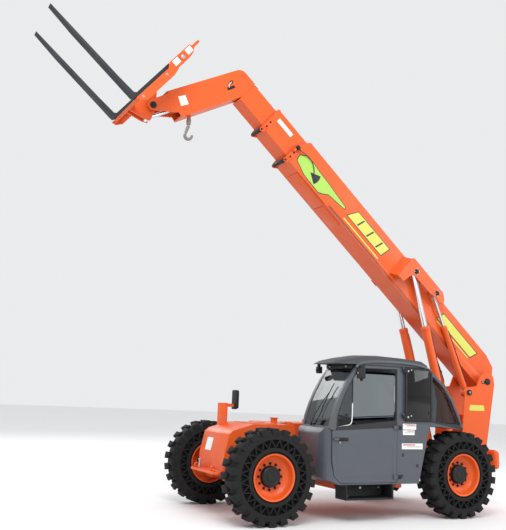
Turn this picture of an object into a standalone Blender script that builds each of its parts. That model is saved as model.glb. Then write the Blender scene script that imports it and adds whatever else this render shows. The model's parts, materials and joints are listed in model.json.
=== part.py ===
"""Telehandler: a rough-terrain telescopic handler with a side cab and a three-section boom.

Machine frame while modelling: +X forward, +Y to the left (cab side), +Z up, ground at z = 0,
x = 0 midway between the axles.  The finished machine is then centred on the world origin by
its overall box.  Boom parts are drawn in the boom's own frame: +X along the boom from its
pivot, +Z square to it, Y across.
"""
import math

import bmesh
import bpy
from mathutils import Matrix, Vector

# ---------------------------------------------------------------- driving dimensions (metres)
GAP = 0.0003                 # left between pieces that rest on each other
RUN = 0.0006                 # left each side of a pinned eye
SHUT = 0.006                 # left around a door in its opening

# wheels and axles
WHEELBASE = 3.344
TRACK = 2.20                 # between the wheels' centre planes
TYRE_RADIUS = 0.66
TYRE_WIDTH = 0.36
RIM_RADIUS = 0.300           # barrel that the tyre sits on
RIM_LIP = 0.020              # lip's height over the barrel
RIM_WIDTH = 0.356
HUB_RADIUS = 0.145
HUB_PROUD = 0.10             # hub face ahead of the wheel's centre plane
HUB_BACK = -0.03             # back face of the hub, where the spindle meets it
KINGPIN_Y = 0.86
KNUCKLE_RADIUS = 0.085
KNUCKLE_HALF = 0.145
AXLE_HALF = 0.085            # half width and half height of the axle beam
WHEEL_STEPS = 44

# main frame
RAIL_INNER = 0.385           # inner face of the side rails
RAIL_OUTER = 0.420
FRAME_FRONT = 1.95
FRAME_REAR = -2.46
FRAME_LOW = 0.52
FRAME_ARCH = 0.80            # underside of the frame over the axles
FRAME_SADDLE = 0.86          # underside of the cross members that rest on the axles
FRAME_TOP = 1.02

# nose
NOSE_HALF = 0.45
NOSE_FRONT = 2.07
NOSE_TOP = 1.335
NOSE_WALL = 0.02
MIRROR_X = 1.54              # front face of the mirror head

# boom tower
TOWER_INNER = 0.335
TOWER_OUTER = 0.360
TOWER_REAR = -3.02

# boom
PIVOT_X = -3.04
PIVOT_Z = 2.15
BOOM_ANGLE = math.radians(40.95)
PIN_RADIUS = 0.050
PIN_FIT = 0.0003
BOOM_HALF = 0.220
BOOM_LOW = -0.110
BOOM_HIGH = 0.437
BOOM_WALL = 0.012
BOOM_LENGTH = 5.38
EXTENDED = 0.52              # how far each inner section is out as it stands
MID_HALF = 0.180
MID_LOW = -0.055
MID_HIGH = 0.400
MID_WALL = 0.010
MID_TAIL = 0.22              # rear end of the mid section when it is right in
MID_NOSE = 5.48
FLY_HALF = 0.145
FLY_LOW = -0.015
FLY_HIGH = 0.360
FLY_TAIL = 0.40
FLY_WALL = 0.010
PAD = 0.09                   # length of a wear pad along the boom

# gooseneck on the fly section
NECK_HALF = 0.150
NECK_ANGLE = math.radians(69.45)
NECK_DEPTH = 0.44
NECK_LENGTH = 1.34
NECK_WALL = 0.012

# lift and levelling cylinders
EAR_INNER = 0.385
EAR_OUTER = 0.400
LIFT_BASE = (-2.31, 0.90)
LIFT_PIN = (2.39, 0.306)     # in the boom's frame
LIFT_Y = 0.3025
LIFT_BARREL = 0.075
LIFT_ROD = 0.045
LIFT_BARREL_LENGTH = 2.20
SLAVE_BASE = (-2.62, 1.947)
SLAVE_PIN = (1.834, 0.347)
SLAVE_Y = 0.2775
SLAVE_BARREL = 0.050
SLAVE_ROD = 0.028
SLAVE_BARREL_LENGTH = 1.21
LIFT_TAIL = 1.05             # inner end of the lift rod, from the base pin
SLAVE_TAIL = 0.52
BORE_START = 0.16
EYE_RADIUS = 0.075

HEAD_PIN = 0.034             # fork carriage's pivot pin

# load hook under the gooseneck
HOOK_X = 2.72
HOOK_Z = 5.955
HOOK_PIN = 0.012
HOOK_LUG = 0.028             # radius of the lug's end
HOOK_EYE = 0.012             # half thickness of the lug

# fork carriage, in its own frame: u up the shanks, v along the forks, from the heel
TILT_X = 3.36
TILT_Z = 6.02
FORK_ANGLE = math.radians(39.6)
PIVOT_U = 0.36
PIVOT_V = -0.29
FORK_Y = 0.49
FORK_WIDTH = 0.125
FORK_LENGTH = 1.66
FORK_THICK = 0.055
CARRIAGE_TOP = 1.42
CARRIAGE_HALF = 0.62
CARRIAGE_BACK = 0.10         # depth of the carriage behind the shanks
SHAFT_U = 1.03               # rod the forks hang on
SHAFT_V = -0.095
SHAFT_RADIUS = 0.032
FORK_EYE = 0.052
TILT_PIN = (0.046, -0.172)   # from the tilt pivot to the tilt rod's eye, machine directions
TILT_BARREL = 0.060
TILT_ROD = 0.032
TILT_TAIL = 0.40             # inner end of the tilt rod, from the barrel's pin
TILT_REACH = 0.98
TILT_SLOPE = math.radians(-28.5)

# cab
CAB_LEFT = 1.23
CAB_RIGHT = 0.44
CAB_WALL = 0.045
CAB_FLOOR = 0.54
CAB_SILL = 1.33
CAB_FRONT = 0.86
CAB_TOP = 2.27
GLASS = 0.008
DOOR_PANE_EDGE = 0.37        # rear edge of the fixed front pane in the door's window
LEAF_HINGE_X = -0.505        # hinge line of the glass upper leaf
LEAF_STAND_OFF = 0.030       # hinge line's distance off the cab side
LEAF_HINGES = (1.52, 2.21)

# engine pod on the right
POD_INNER = -0.46
POD_OUTER = -1.22
POD_FRONT = 0.84
POD_REAR = -0.84
POD_LOW = 0.56
POD_TOP = 1.28
POD_WALL = 0.03
HOOD_THICK = 0.045

ORANGE = (0.86, 0.12, 0.03)
GREY = (0.115, 0.13, 0.155)
BLACK = (0.02, 0.02, 0.022)
STEEL = (0.62, 0.62, 0.64)
SMOKE = (0.05, 0.06, 0.07)


# ---------------------------------------------------------------- general helpers
def clear_scene():
    for item in list(bpy.data.objects):
        bpy.data.objects.remove(item, do_unlink=True)


def paint(name, colour, roughness, metallic=0.0):
    """A Principled material of one colour."""
    made = bpy.data.materials.new(name)
    made.use_nodes = True
    shader = made.node_tree.nodes["Principled BSDF"]
    shader.inputs["Base Color"].default_value = (*colour, 1.0)
    shader.inputs["Roughness"].default_value = roughness
    shader.inputs["Metallic"].default_value = metallic
    return made


def prism(outline, low, high, plane="XZ"):
    """Closed prism: an outline in a plane, carried from low to high along that plane's normal."""
    order = {"XZ": (0, 2, 1), "XY": (0, 1, 2), "YZ": (1, 2, 0)}[plane]
    bm = bmesh.new()
    ring = []
    for first, second in outline:
        place = [0.0, 0.0, 0.0]
        place[order[0]] = first
        place[order[1]] = second
        place[order[2]] = low
        ring.append(bm.verts.new(place))
    face = bm.faces.new(ring)
    grown = bmesh.ops.extrude_face_region(bm, geom=[face])
    lift = [0.0, 0.0, 0.0]
    lift[order[2]] = high - low
    moved = [item for item in grown["geom"] if isinstance(item, bmesh.types.BMVert)]
    bmesh.ops.translate(bm, verts=moved, vec=lift)
    bmesh.ops.recalc_face_normals(bm, faces=bm.faces)
    return bm


def block(low, high):
    """Closed box between two corners."""
    outline = [(low[0], low[2]), (high[0], low[2]), (high[0], high[2]), (low[0], high[2])]
    return prism(outline, low[1], high[1])


def rod(start, end, radius, steps=20):
    """Closed cylinder between two points."""
    start = Vector(start)
    end = Vector(end)
    bm = bmesh.new()
    bmesh.ops.create_cone(bm, cap_ends=True, cap_tris=False, segments=steps, radius1=radius,
                          radius2=radius, depth=(end - start).length)
    turn = Vector((0, 0, 1)).rotation_difference(end - start).to_matrix().to_4x4()
    bmesh.ops.transform(bm, matrix=Matrix.Translation((start + end) / 2) @ turn, verts=bm.verts)
    return bm


def hole(start, end, radius, steps=24):
    """Cutter whose flats, not only its corners, stay clear of a pin of that radius."""
    return rod(start, end, (radius + PIN_FIT) / math.cos(math.pi / steps), steps)


def turned(profile, steps=WHEEL_STEPS):
    """Solid of revolution about Y: a closed outline of (radius, y) points."""
    bm = bmesh.new()
    ring = [bm.verts.new((radius, along, 0.0)) for radius, along in profile]
    edges = [bm.edges.new((ring[i - 1], ring[i])) for i in range(len(ring))]
    bmesh.ops.spin(bm, geom=ring + edges, cent=(0, 0, 0), axis=(0, 1, 0), angle=math.tau,
                   steps=steps, use_merge=True)
    bmesh.ops.remove_doubles(bm, verts=bm.verts, dist=1e-5)
    bmesh.ops.dissolve_degenerate(bm, edges=bm.edges, dist=1e-6)
    bmesh.ops.recalc_face_normals(bm, faces=bm.faces)
    return bm


def arc(centre, radius, start, end, steps):
    """Points along an arc, angles in degrees."""
    points = []
    for i in range(steps + 1):
        angle = math.radians(start + (end - start) * i / steps)
        points.append((centre[0] + radius * math.cos(angle), centre[1] + radius * math.sin(angle)))
    return points


def raw_object(name, bm):
    mesh = bpy.data.meshes.new(name)
    bm.to_mesh(mesh)
    bm.free()
    made = bpy.data.objects.new(name, mesh)
    bpy.context.scene.collection.objects.link(made)
    return made


def solid(name, parts, cuts=(), finish=None, smooth=None):
    """One named closed body: the first part joined with the others, less the cuts."""
    body = raw_object(name, parts[0])
    helpers = []
    for operation, shapes in (("UNION", parts[1:]), ("DIFFERENCE", cuts)):
        for number, shape in enumerate(shapes):
            helper = raw_object(f"{name}_{operation}_{number}", shape)
            helper.hide_render = True
            helper.display_type = "WIRE"
            helpers.append(helper)
            change = body.modifiers.new(helper.name, "BOOLEAN")
            change.operation = operation
            change.solver = "EXACT"
            change.object = helper
    if helpers:
        bpy.context.view_layer.update()
        graph = bpy.context.evaluated_depsgraph_get()
        mesh = bpy.data.meshes.new_from_object(body.evaluated_get(graph))
        body.modifiers.clear()
        body.data = mesh
        mesh.name = name
    for helper in helpers:
        bpy.data.objects.remove(helper, do_unlink=True)
    if finish is not None:
        body.data.materials.clear()
        body.data.materials.append(finish)
    if smooth is not None:
        body.data.shade_smooth()
        body.data.set_sharp_from_angle(angle=math.radians(smooth))
    return body


def common(shape, guide):
    """What two closed shapes have in common, as a bmesh."""
    body = raw_object("common_shape", shape)
    helper = raw_object("common_guide", guide)
    change = body.modifiers.new("common", "BOOLEAN")
    change.operation = "INTERSECT"
    change.solver = "EXACT"
    change.object = helper
    bpy.context.view_layer.update()
    graph = bpy.context.evaluated_depsgraph_get()
    mesh = bpy.data.meshes.new_from_object(body.evaluated_get(graph))
    bm = bmesh.new()
    bm.from_mesh(mesh)
    for item in (body, helper):
        bpy.data.objects.remove(item, do_unlink=True)
    return bm


def anchor(name, parent, location, turn_y=0.0):
    """An empty on a joint's axis."""
    empty = bpy.data.objects.new(name, None)
    bpy.context.scene.collection.objects.link(empty)
    empty.parent = parent
    empty.location = location
    empty.rotation_euler = (0.0, turn_y, 0.0)
    return empty


def hang(piece, parent, location=(0.0, 0.0, 0.0), turn_y=0.0):
    piece.parent = parent
    piece.location = location
    piece.rotation_euler = (0.0, turn_y, 0.0)
    return piece


def flipped(bm):
    """The same shape mirrored across Y = 0."""
    bmesh.ops.scale(bm, vec=(1, -1, 1), verts=bm.verts)
    bmesh.ops.reverse_faces(bm, faces=bm.faces)
    return bm


def sided(bm, side):
    return bm if side > 0 else flipped(bm)


# ---------------------------------------------------------------- wheels, knuckles, axles
def tyre_shape():
    half = TYRE_WIDTH / 2
    seat = RIM_RADIUS + GAP
    bead = half - 0.015
    flank = [(seat, bead), (0.338, bead), (0.350, half), (TYRE_RADIUS - 0.10, half),
             (TYRE_RADIUS - 0.040, half - 0.012), (TYRE_RADIUS - 0.004, half - 0.05),
             (TYRE_RADIUS, half - 0.085)]
    back = [(radius, -along) for radius, along in reversed(flank)]
    return turned(flank + back)


def rim_shape():
    """Deep-dish rim with its hub, outer face towards +Y."""
    half = RIM_WIDTH / 2
    inside = TYRE_WIDTH / 2 - 0.015 + GAP
    lip = RIM_RADIUS + RIM_LIP
    profile = [
        (0.0, HUB_PROUD), (HUB_RADIUS - 0.02, HUB_PROUD), (HUB_RADIUS, HUB_PROUD - 0.02),
        (HUB_RADIUS, 0.030), (0.205, 0.030), (0.270, 0.075), (0.292, 0.160), (0.300, half),
        (lip, half), (lip, inside), (RIM_RADIUS, inside), (RIM_RADIUS, -inside),
        (lip, -inside), (lip, -half), (0.302, -half), (0.284, -half + 0.03), (0.284, 0.020),
        (0.262, 0.030), (0.205, 0.005), (0.12, 0.005), (0.12, HUB_BACK), (0.0, HUB_BACK),
    ]
    return turned(profile)


def knuckle(name, parent, x, side, reach, finish):
    """Knuckle on its kingpin, with the spindle out to the hub and a steering arm inboard."""
    spindle = TRACK / 2 - KINGPIN_Y + HUB_BACK - GAP
    inward = -1 if x > 0 else 1
    arm = [(0.0, -0.030), (inward * reach, -0.055), (inward * reach, -0.005), (0.0, 0.035)]
    parts = [
        rod((0, 0, -KNUCKLE_HALF), (0, 0, KNUCKLE_HALF), KNUCKLE_RADIUS, 24),
        rod((0, 0, 0), (0, spindle, 0), 0.085, 24),
        rod((0, spindle - 0.03, 0), (0, spindle, 0), 0.115, 24),
        prism(arm, -0.018, 0.018, "XY"),
        rod((inward * reach, -0.030, -0.030), (inward * reach, -0.030, 0.030), 0.032, 16),
    ]
    made = solid(name, [sided(shape, side) for shape in parts], finish=finish, smooth=35)
    return hang(made, parent, (x, side * KINGPIN_Y, TYRE_RADIUS))


def axle(name, parent, x, finish):
    """Axle beam with its differential and a yoke at each end, round the knuckles."""
    top = KNUCKLE_HALF + RUN
    z = TYRE_RADIUS
    saddle = FRAME_SADDLE - RUN
    parts = [
        block((-AXLE_HALF, -0.70, z - AXLE_HALF), (AXLE_HALF, 0.70, z + AXLE_HALF)),
        rod((-0.21, 0, z), (0.17, 0, z), 0.185, 28),
        block((-0.11, -0.28, z), (0.11, 0.28, saddle)),
    ]
    for side in (1, -1):
        parts.append(sided(block((-0.08, 0.64, z - 0.205), (0.08, 0.745, z + 0.205)), side))
        outline = [(-KNUCKLE_RADIUS, 0.70)]
        outline += arc((0.0, KINGPIN_Y), KNUCKLE_RADIUS, 180, 0, 10)
        outline += [(KNUCKLE_RADIUS, 0.70)]
        for low, high in ((z + top, z + top + 0.055), (z - top - 0.055, z - top)):
            parts.append(sided(prism(outline, low, high, "XY"), side))
        ram = (-0.17 if x > 0 else 0.17, 0.0, z + 0.13)
    parts.append(block((min(0, ram[0]) - 0.02, -0.05, ram[2] - 0.03),
                       (max(0, ram[0]) + 0.02, 0.05, ram[2] + 0.03)))
    parts.append(rod((ram[0], -0.24, ram[2]), (ram[0], 0.24, ram[2]), 0.042, 16))
    made = solid(name, parts, finish=finish, smooth=35)
    return hang(made, parent, (x, 0, 0))


def running_gear(machine, finishes):
    for end, x in (("front", WHEELBASE / 2), ("rear", -WHEELBASE / 2)):
        axle(f"{end}_axle", machine, x, finishes["orange"])
        for flank, side in (("left", 1), ("right", -1)):
            knuckle(f"{end}_{flank}_knuckle", machine, x, side, 0.20, finishes["black"])
            wheel = anchor(f"{end}_{flank}_wheel_axis", machine, (x, side * TRACK / 2, TYRE_RADIUS))
            rim = solid(f"{end}_{flank}_rim", [sided(rim_shape(), side)],
                        finish=finishes["orange"], smooth=30)
            hang(rim, wheel)
            tyre = solid(f"{end}_{flank}_tyre", [tyre_shape()], finish=finishes["rubber"], smooth=30)
            hang(tyre, wheel)


# ---------------------------------------------------------------- frame, nose, tower
def main_frame(machine, finish):
    front = WHEELBASE / 2
    outline = [
        (FRAME_REAR, 0.62), (FRAME_REAR, FRAME_TOP), (FRAME_FRONT, FRAME_TOP),
        (FRAME_FRONT, FRAME_ARCH),
        (front - 0.32, FRAME_ARCH), (front - 0.50, FRAME_LOW), (-front + 0.50, FRAME_LOW),
        (-front + 0.32, FRAME_ARCH), (-front - 0.40, FRAME_ARCH), (-front - 0.55, 0.62),
    ]
    lug = [(LIFT_BASE[0] - 0.14, FRAME_ARCH - 0.01)]
    lug += arc(LIFT_BASE, 0.105, 180, 0, 12)
    lug += [(LIFT_BASE[0] + 0.14, FRAME_ARCH - 0.01)]
    parts = [prism(outline, RAIL_INNER, RAIL_OUTER)]
    parts.append(prism(outline, -RAIL_OUTER, -RAIL_INNER))
    reach = RAIL_INNER + 0.01
    for low, high in (
        ((-front + 0.52, -reach, FRAME_LOW + 0.004), (front - 0.52, reach, FRAME_LOW + 0.03)),
        ((front - 0.27, -reach, FRAME_SADDLE), (front + 0.24, reach, FRAME_SADDLE + 0.10)),
        ((-front - 0.20, -reach, FRAME_SADDLE), (-front + 0.24, reach, FRAME_SADDLE + 0.05)),
    ):
        parts.append(block(low, high))
    parts.append(block((LIFT_BASE[0] - 0.13, -reach, FRAME_ARCH - 0.02),
                       (LIFT_BASE[0] + 0.30, reach, FRAME_ARCH + 0.01)))
    parts.append(block((FRAME_REAR + 0.002, -reach, 0.64), (FRAME_REAR + 0.03, reach, FRAME_TOP - 0.004)))
    for side in (1, -1):
        parts.append(sided(prism(lug, BOOM_HALF - 0.035, BOOM_HALF), side))
    flange_low = (0.93, RAIL_OUTER - 0.01, FRAME_TOP - 0.03)
    flange_high = (FRAME_FRONT - 0.02, NOSE_HALF - 0.005, FRAME_TOP)
    for side in (1, -1):
        parts.append(sided(block(flange_low, flange_high), side))
    for x in (-0.72, 0.40):
        parts.append(block((x, RAIL_INNER + 0.005, 0.45), (x + 0.10, 0.95, CAB_FLOOR - GAP)))
    made = solid("main_frame", parts, finish=finish)
    return hang(made, machine)


def front_nose(machine, finish):
    """Welded nose and deck over the front axle, open below, with its bumper plate."""
    rear = 0.90
    top = NOSE_TOP
    skin = [
        (rear, FRAME_TOP + GAP), (rear, top), (1.60, top), (1.94, top - 0.10),
        (1.995, top - 0.15), (NOSE_FRONT, 0.86), (NOSE_FRONT, 0.64),
        (FRAME_FRONT + GAP, 0.64),
        (FRAME_FRONT + GAP, FRAME_TOP + GAP),
    ]
    inner = NOSE_HALF - NOSE_WALL
    hollow = [
        (rear - 0.01, FRAME_TOP - 0.01), (rear - 0.01, top - NOSE_WALL), (1.595, top - NOSE_WALL),
        (1.93, top - 0.10 - NOSE_WALL), (1.975, top - 0.163),
        (NOSE_FRONT - 0.025, 0.86), (NOSE_FRONT - 0.025, 0.63), (FRAME_FRONT - 0.01, 0.63),
        (FRAME_FRONT - 0.01, FRAME_TOP - 0.01),
    ]
    plate = [
        (FRAME_FRONT + 0.012, -NOSE_HALF - 0.02), (2.16, -NOSE_HALF - 0.02), (2.22, -NOSE_HALF + 0.05),
        (2.22, NOSE_HALF - 0.05), (2.16, NOSE_HALF + 0.02), (FRAME_FRONT + 0.012, NOSE_HALF + 0.02),
    ]
    parts = [prism(skin, -NOSE_HALF, NOSE_HALF)]
    parts.append(prism(plate, 0.615, 0.65, "XY"))
    cuts = [prism(hollow, -inner, inner)]
    post = block((1.66, -0.44, top - 0.065), (1.80, -0.36, 1.62))
    arm = block((MIRROR_X + GAP, -0.42, 1.56), (1.67, -0.38, 1.61))
    parts += [post, arm]
    parts.append(block((0.99, -0.05, top - 0.01), (1.06, 0.05, top + 0.075)))
    made = solid("front_nose", parts, cuts, finish=finish)
    return hang(made, machine)


def front_mirror(machine, finish):
    """Rear-view mirror head on the nose's post, facing back."""
    outline = [(MIRROR_X - 0.030, 1.53), (MIRROR_X, 1.52), (MIRROR_X, 1.82), (MIRROR_X - 0.030, 1.83),
               (MIRROR_X - 0.060, 1.81), (MIRROR_X - 0.060, 1.55)]
    made = solid("front_mirror", [prism(outline, -0.49, -0.33)], finish=finish)
    return hang(made, machine)


def boom_tower(machine, finish):
    """Two upright plates with the boom's pivot pin, tied by a floor, front flange and back plate."""
    front = FRAME_REAR - GAP
    plate = [(TOWER_REAR, 0.62), (front, 0.62), (front, 1.12), (-2.50, 1.62)]
    plate += arc(SLAVE_BASE, 0.095, -20, 95, 7)
    plate += [(-2.80, 2.06), (-2.88, 2.24)]
    plate += arc((PIVOT_X, PIVOT_Z), 0.165, 45, 155, 7)
    plate += [(-3.205, 2.10), (TOWER_REAR - 0.01, 1.13), (TOWER_REAR, 1.08)]
    tie = TOWER_INNER + 0.01
    parts = [prism(plate, TOWER_INNER, TOWER_OUTER), prism(plate, -TOWER_OUTER, -TOWER_INNER)]
    parts.append(block((front - 0.035, -RAIL_OUTER, 0.63), (front, RAIL_OUTER, 1.01)))
    parts.append(block((TOWER_REAR + 0.004, -tie, 0.624), (front - 0.01, tie, 0.66)))
    back = [(TOWER_REAR + 0.003, 0.64), (TOWER_REAR + 0.028, 0.64), (TOWER_REAR + 0.028, 1.10),
            (-3.005, 1.55), (-3.03, 1.55), (TOWER_REAR + 0.003, 1.10)]
    parts.append(prism(back, -tie, tie))
    end = TOWER_OUTER + 0.012
    parts.append(rod((PIVOT_X, -end, PIVOT_Z), (PIVOT_X, end, PIVOT_Z), PIN_RADIUS, 24))
    for side in (1, -1):
        x, z = SLAVE_BASE
        end = TOWER_OUTER + 0.02
        parts.append(sided(rod((x, TOWER_INNER + 0.005, z), (x, end, z), 0.032, 16), side))
    made = solid("boom_tower", parts, finish=finish)
    return hang(made, machine)


def counterweight(machine, finish):
    """Cast weight bolted behind the tower."""
    front = TOWER_REAR - GAP
    half = TOWER_OUTER + 0.19
    outline = [
        (front, -half), (front, half), (front - 0.10, half), (front - 0.20, half - 0.12),
        (front - 0.20, -half + 0.12), (front - 0.10, -half),
    ]
    made = solid("counterweight", [prism(outline, 0.66, 1.06, "XY")],
                 [prism([(front + 0.01, 1.0), (front - 0.3, 0.90), (front - 0.3, 1.2), (front + 0.01, 1.2)],
                        -1, 1)], finish=finish)
    return hang(made, machine)


# ---------------------------------------------------------------- engine pod
def engine_pod(machine, finishes):
    low, top = POD_LOW, POD_TOP
    skin = [
        (POD_REAR, low + 0.10), (POD_REAR - 0.10, top), (POD_FRONT + 0.02, top),
        (POD_FRONT - 0.02, low + 0.12),
        (POD_FRONT - 0.20, low), (POD_REAR + 0.10, low),
    ]
    inner = [
        (POD_REAR + 0.03, low + 0.115), (POD_REAR - 0.07, top + 0.1), (POD_FRONT - 0.01, top + 0.1),
        (POD_FRONT - 0.05, low + 0.135), (POD_FRONT - 0.22, low + POD_WALL),
        (POD_REAR + 0.12, low + POD_WALL),
    ]
    wall = POD_WALL
    parts = [prism(skin, POD_OUTER, POD_INNER)]
    parts.append(block((-0.70, POD_INNER - 0.01, 0.62), (0.60, -RAIL_OUTER - GAP, 0.92)))
    cuts = [prism(inner, POD_OUTER + wall, POD_INNER - wall)]
    body = solid("engine_pod", parts, cuts, finish=finishes["orange"])
    hang(body, machine)
    seat = low + wall + GAP
    engine = solid("engine_block", [block((-0.50, -1.08, seat), (0.42, -0.60, 1.14))],
                   finish=finishes["black"])
    hang(engine, machine)
    hinge_y = POD_INNER - 0.02
    hinge_z = top + HOOD_THICK + GAP
    lid = [(POD_REAR - 0.10, POD_OUTER), (POD_FRONT + 0.02, POD_OUTER),
           (POD_FRONT + 0.02, POD_INNER - 0.02), (POD_REAR - 0.10, POD_INNER - 0.02)]
    hood_parts = [prism(lid, top + GAP, top + HOOD_THICK, "XY")]
    hood_parts.append(block((-0.25, -0.98, top + HOOD_THICK - 0.01),
                            (-0.05, -0.78, top + HOOD_THICK + 0.05)))
    hood = solid("engine_hood", hood_parts, finish=finishes["orange"])
    hood.data.transform(Matrix.Translation((0, -hinge_y, -hinge_z)))
    hang(hood, machine, (0, hinge_y, hinge_z))


# ---------------------------------------------------------------- cab
def screen_line(offset=0.0):
    """Curved front line of the cab from sill to roof, moved inward by an offset."""
    outer = [(0.775, CAB_SILL), (0.735, 1.50), (0.672, 1.68), (0.588, 1.86), (0.485, 2.04), (0.362, 2.20),
             (0.300, CAB_TOP)]
    return [(x - offset, z) for x, z in outer]


def tail_line(offset=0.0):
    """Curved rear line of the cab from roof down to the rear shelf."""
    outer = [(-0.96, CAB_TOP), (-1.13, 2.19), (-1.33, 2.02), (-1.50, 1.80), (-1.63, 1.55), (-1.705, 1.345)]
    return [(x + offset, z) for x, z in outer]


def lower_edge():
    """Rear lower edge of the cab side, raked to clear the wheel."""
    return [(-0.83, CAB_FLOOR), (-1.035, 1.385)]


def door_outline(grow=0.0):
    return [(-0.415 - grow, 0.565 - grow), (0.575 + grow * 0.5, 0.565 - grow), (0.680 + grow, 0.66),
            (0.722 + grow, 0.87), (0.730 + grow, 1.30), (0.727 + grow, 1.30 + grow),
            (-0.415 - grow, 1.448 + grow)]


def cab_plan(inset=0.0):
    """Plan of the cab's lower body with its rounded outer front corner."""
    corner = 0.23
    plan = [(-1.20, CAB_RIGHT + inset)]
    plan += arc((CAB_FRONT - 0.05, CAB_RIGHT + 0.05), 0.05 - inset * 0.95, -90, 0, 3)
    plan += arc((CAB_FRONT - corner, CAB_LEFT - corner), corner - inset, 0, 90, 7)
    plan += [(-1.20, CAB_LEFT - inset)]
    return plan


def cab_shell(machine, finishes):
    left, right, wall = CAB_LEFT, CAB_RIGHT, CAB_WALL
    rake = lower_edge()
    lower = [(rake[0][0], CAB_FLOOR), (0.60, CAB_FLOOR), (CAB_FRONT, 0.64), (CAB_FRONT, 1.24),
             (CAB_FRONT - 0.05, CAB_SILL), (0.70, CAB_SILL), (0.70, 1.45), (-1.05, 1.45), rake[1]]
    lower_bm = common(prism(lower, right, left), prism(cab_plan(), CAB_FLOOR - 0.05, 1.6, "XY"))
    upper_outline = [(-1.05, 1.40)] + [(0.60, 1.26)] + screen_line() + tail_line()
    parts = [lower_bm, prism(upper_outline, right, left)]
    for z in LEAF_HINGES:
        parts.append(block((LEAF_HINGE_X - 0.011, left - 0.01, z + 0.03 + GAP),
                           (LEAF_HINGE_X + 0.011, left + LEAF_STAND_OFF + 0.011, z + 0.055)))
    inner_low = [(rake[0][0] + wall, CAB_FLOOR + 0.03), (0.57, CAB_FLOOR + 0.03), (CAB_FRONT - 0.07, 0.70),
                 (CAB_FRONT - 0.07, 1.21), (0.69, CAB_SILL - 0.03), (0.60, 1.45), (-0.98, 1.45),
                 (rake[1][0] + wall, rake[1][1])]
    inner_up = [(-1.02, 1.42), (0.62, 1.30)] + screen_line(wall)[0:6] + [(0.24, CAB_TOP + 0.1)]
    inner_up += [(-0.93, CAB_TOP + 0.1)] + tail_line(wall)[1:5] + [(-1.625, 1.42)]
    side_in, side_out = right + wall, left - wall
    inside = common(prism(inner_low, side_in, side_out), prism(cab_plan(wall), CAB_FLOOR - 0.05, 1.6, "XY"))
    cuts = [inside, prism(inner_up, side_in, side_out)]
    # door opening, with the window opening above it
    cuts.append(prism(door_outline(SHUT), side_out - 0.02, left + 0.02))
    window = [(-0.405, 1.40), (0.675, 1.28), (0.650, 1.50), (0.590, 1.68), (0.506, 1.86), (0.404, 2.04),
              (0.306, 2.175), (0.262, 2.215), (-0.405, 2.225)]
    cuts.append(prism(window, side_out - 0.02, left + 0.02))
    # side light behind the pillar and the curved quarter light
    cuts.append(prism([(-0.575, 1.51), (-0.575, 2.215), (-0.94, 2.215), (-1.045, 2.155), (-1.045, 1.485)],
                      side_out - 0.02, left + 0.02))
    cuts.append(prism([(-1.085, 1.455), (-1.085, 2.13), (-1.115, 2.135), (-1.295, 1.985), (-1.460, 1.775),
                       (-1.585, 1.54), (-1.645, 1.415)], side_out - 0.02, left + 0.02))
    # right-hand window
    window = [(-0.95, 1.50), (0.58, 1.42), (0.54, 1.68), (0.46, 1.86), (0.36, 2.04), (0.26, 2.17),
              (-0.95, 2.17), (-1.25, 1.97), (-1.45, 1.70), (-1.52, 1.50)]
    cuts.append(prism(window, right - 0.02, side_in + 0.02))
    # windscreen and rear screen
    cuts.append(block((0.10, right + 0.055, CAB_SILL + 0.03), (0.95, left - 0.055, CAB_TOP - 0.045)))
    cuts.append(block((-1.90, right + 0.055, 1.44), (-1.06, left - 0.055, 2.16)))
    shell = solid("cab_shell", parts, cuts, finish=finishes["grey"])
    hang(shell, machine)
    return shell


def curved_sheet(line, thick, low, high):
    """A thin sheet that follows a line in XZ, thickened towards the cab's middle."""
    middle = Vector((-0.4, 1.75))
    inner = []
    for x, z in line:
        inward = (middle - Vector((x, z))).normalized() * thick
        inner.append((x + inward.x, z + inward.y))
    return prism(line + inner[::-1], low, high)


def cab_glass(machine, finishes):
    low, high = CAB_RIGHT + 0.055 + GAP, CAB_LEFT - 0.055 - GAP
    front = [(x - 0.012, z) for x, z in screen_line()[1:6]]
    front = [(0.7555, CAB_SILL + 0.031)] + front
    front[-1] = (0.352, 2.2135)
    made = solid("windscreen", [curved_sheet(front, GLASS, low, high)], finish=finishes["glass"])
    hang(made, machine)
    back = [(-1.115, 2.159)] + [(x + 0.010, z) for x, z in tail_line()[2:5]] + [(-1.662, 1.4405)]
    made = solid("rear_screen", [curved_sheet(back, GLASS, low, high)], finish=finishes["glass"])
    hang(made, machine)


def cab_panes(machine, finishes):
    """Flat side panes, bedded on the inside of the cab walls."""
    inner = CAB_RIGHT + CAB_WALL + GAP
    right = [(-0.99, 1.47), (0.60, 1.39), (0.575, 1.68), (0.495, 1.86), (0.395, 2.04), (0.30, 2.19),
             (-0.99, 2.20), (-1.28, 1.99), (-1.475, 1.72), (-1.55, 1.47)]
    hang(solid("right_pane", [prism(right, inner, inner + GLASS)], finish=finishes["glass"]), machine)
    outer = CAB_LEFT - CAB_WALL - GAP
    left = [(-0.555, 1.475), (-0.555, 2.21), (-1.02, 2.21), (-1.29, 1.985), (-1.45, 1.78), (-1.56, 1.55),
            (-1.60, 1.44), (-1.04, 1.455)]
    pane = prism(left, outer - GLASS, outer)
    hang(solid("left_rear_pane", [pane], finish=finishes["glass"]), machine)
    front = [(DOOR_PANE_EDGE, 1.366), (0.675, 1.335)]
    front += [(x - 0.008, z) for x, z in screen_line(CAB_WALL)[1:5]]
    front += [(DOOR_PANE_EDGE, 2.112)]
    hang(solid("door_front_pane", [prism(front, outer - GLASS, outer)], finish=finishes["glass"]), machine)


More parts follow.
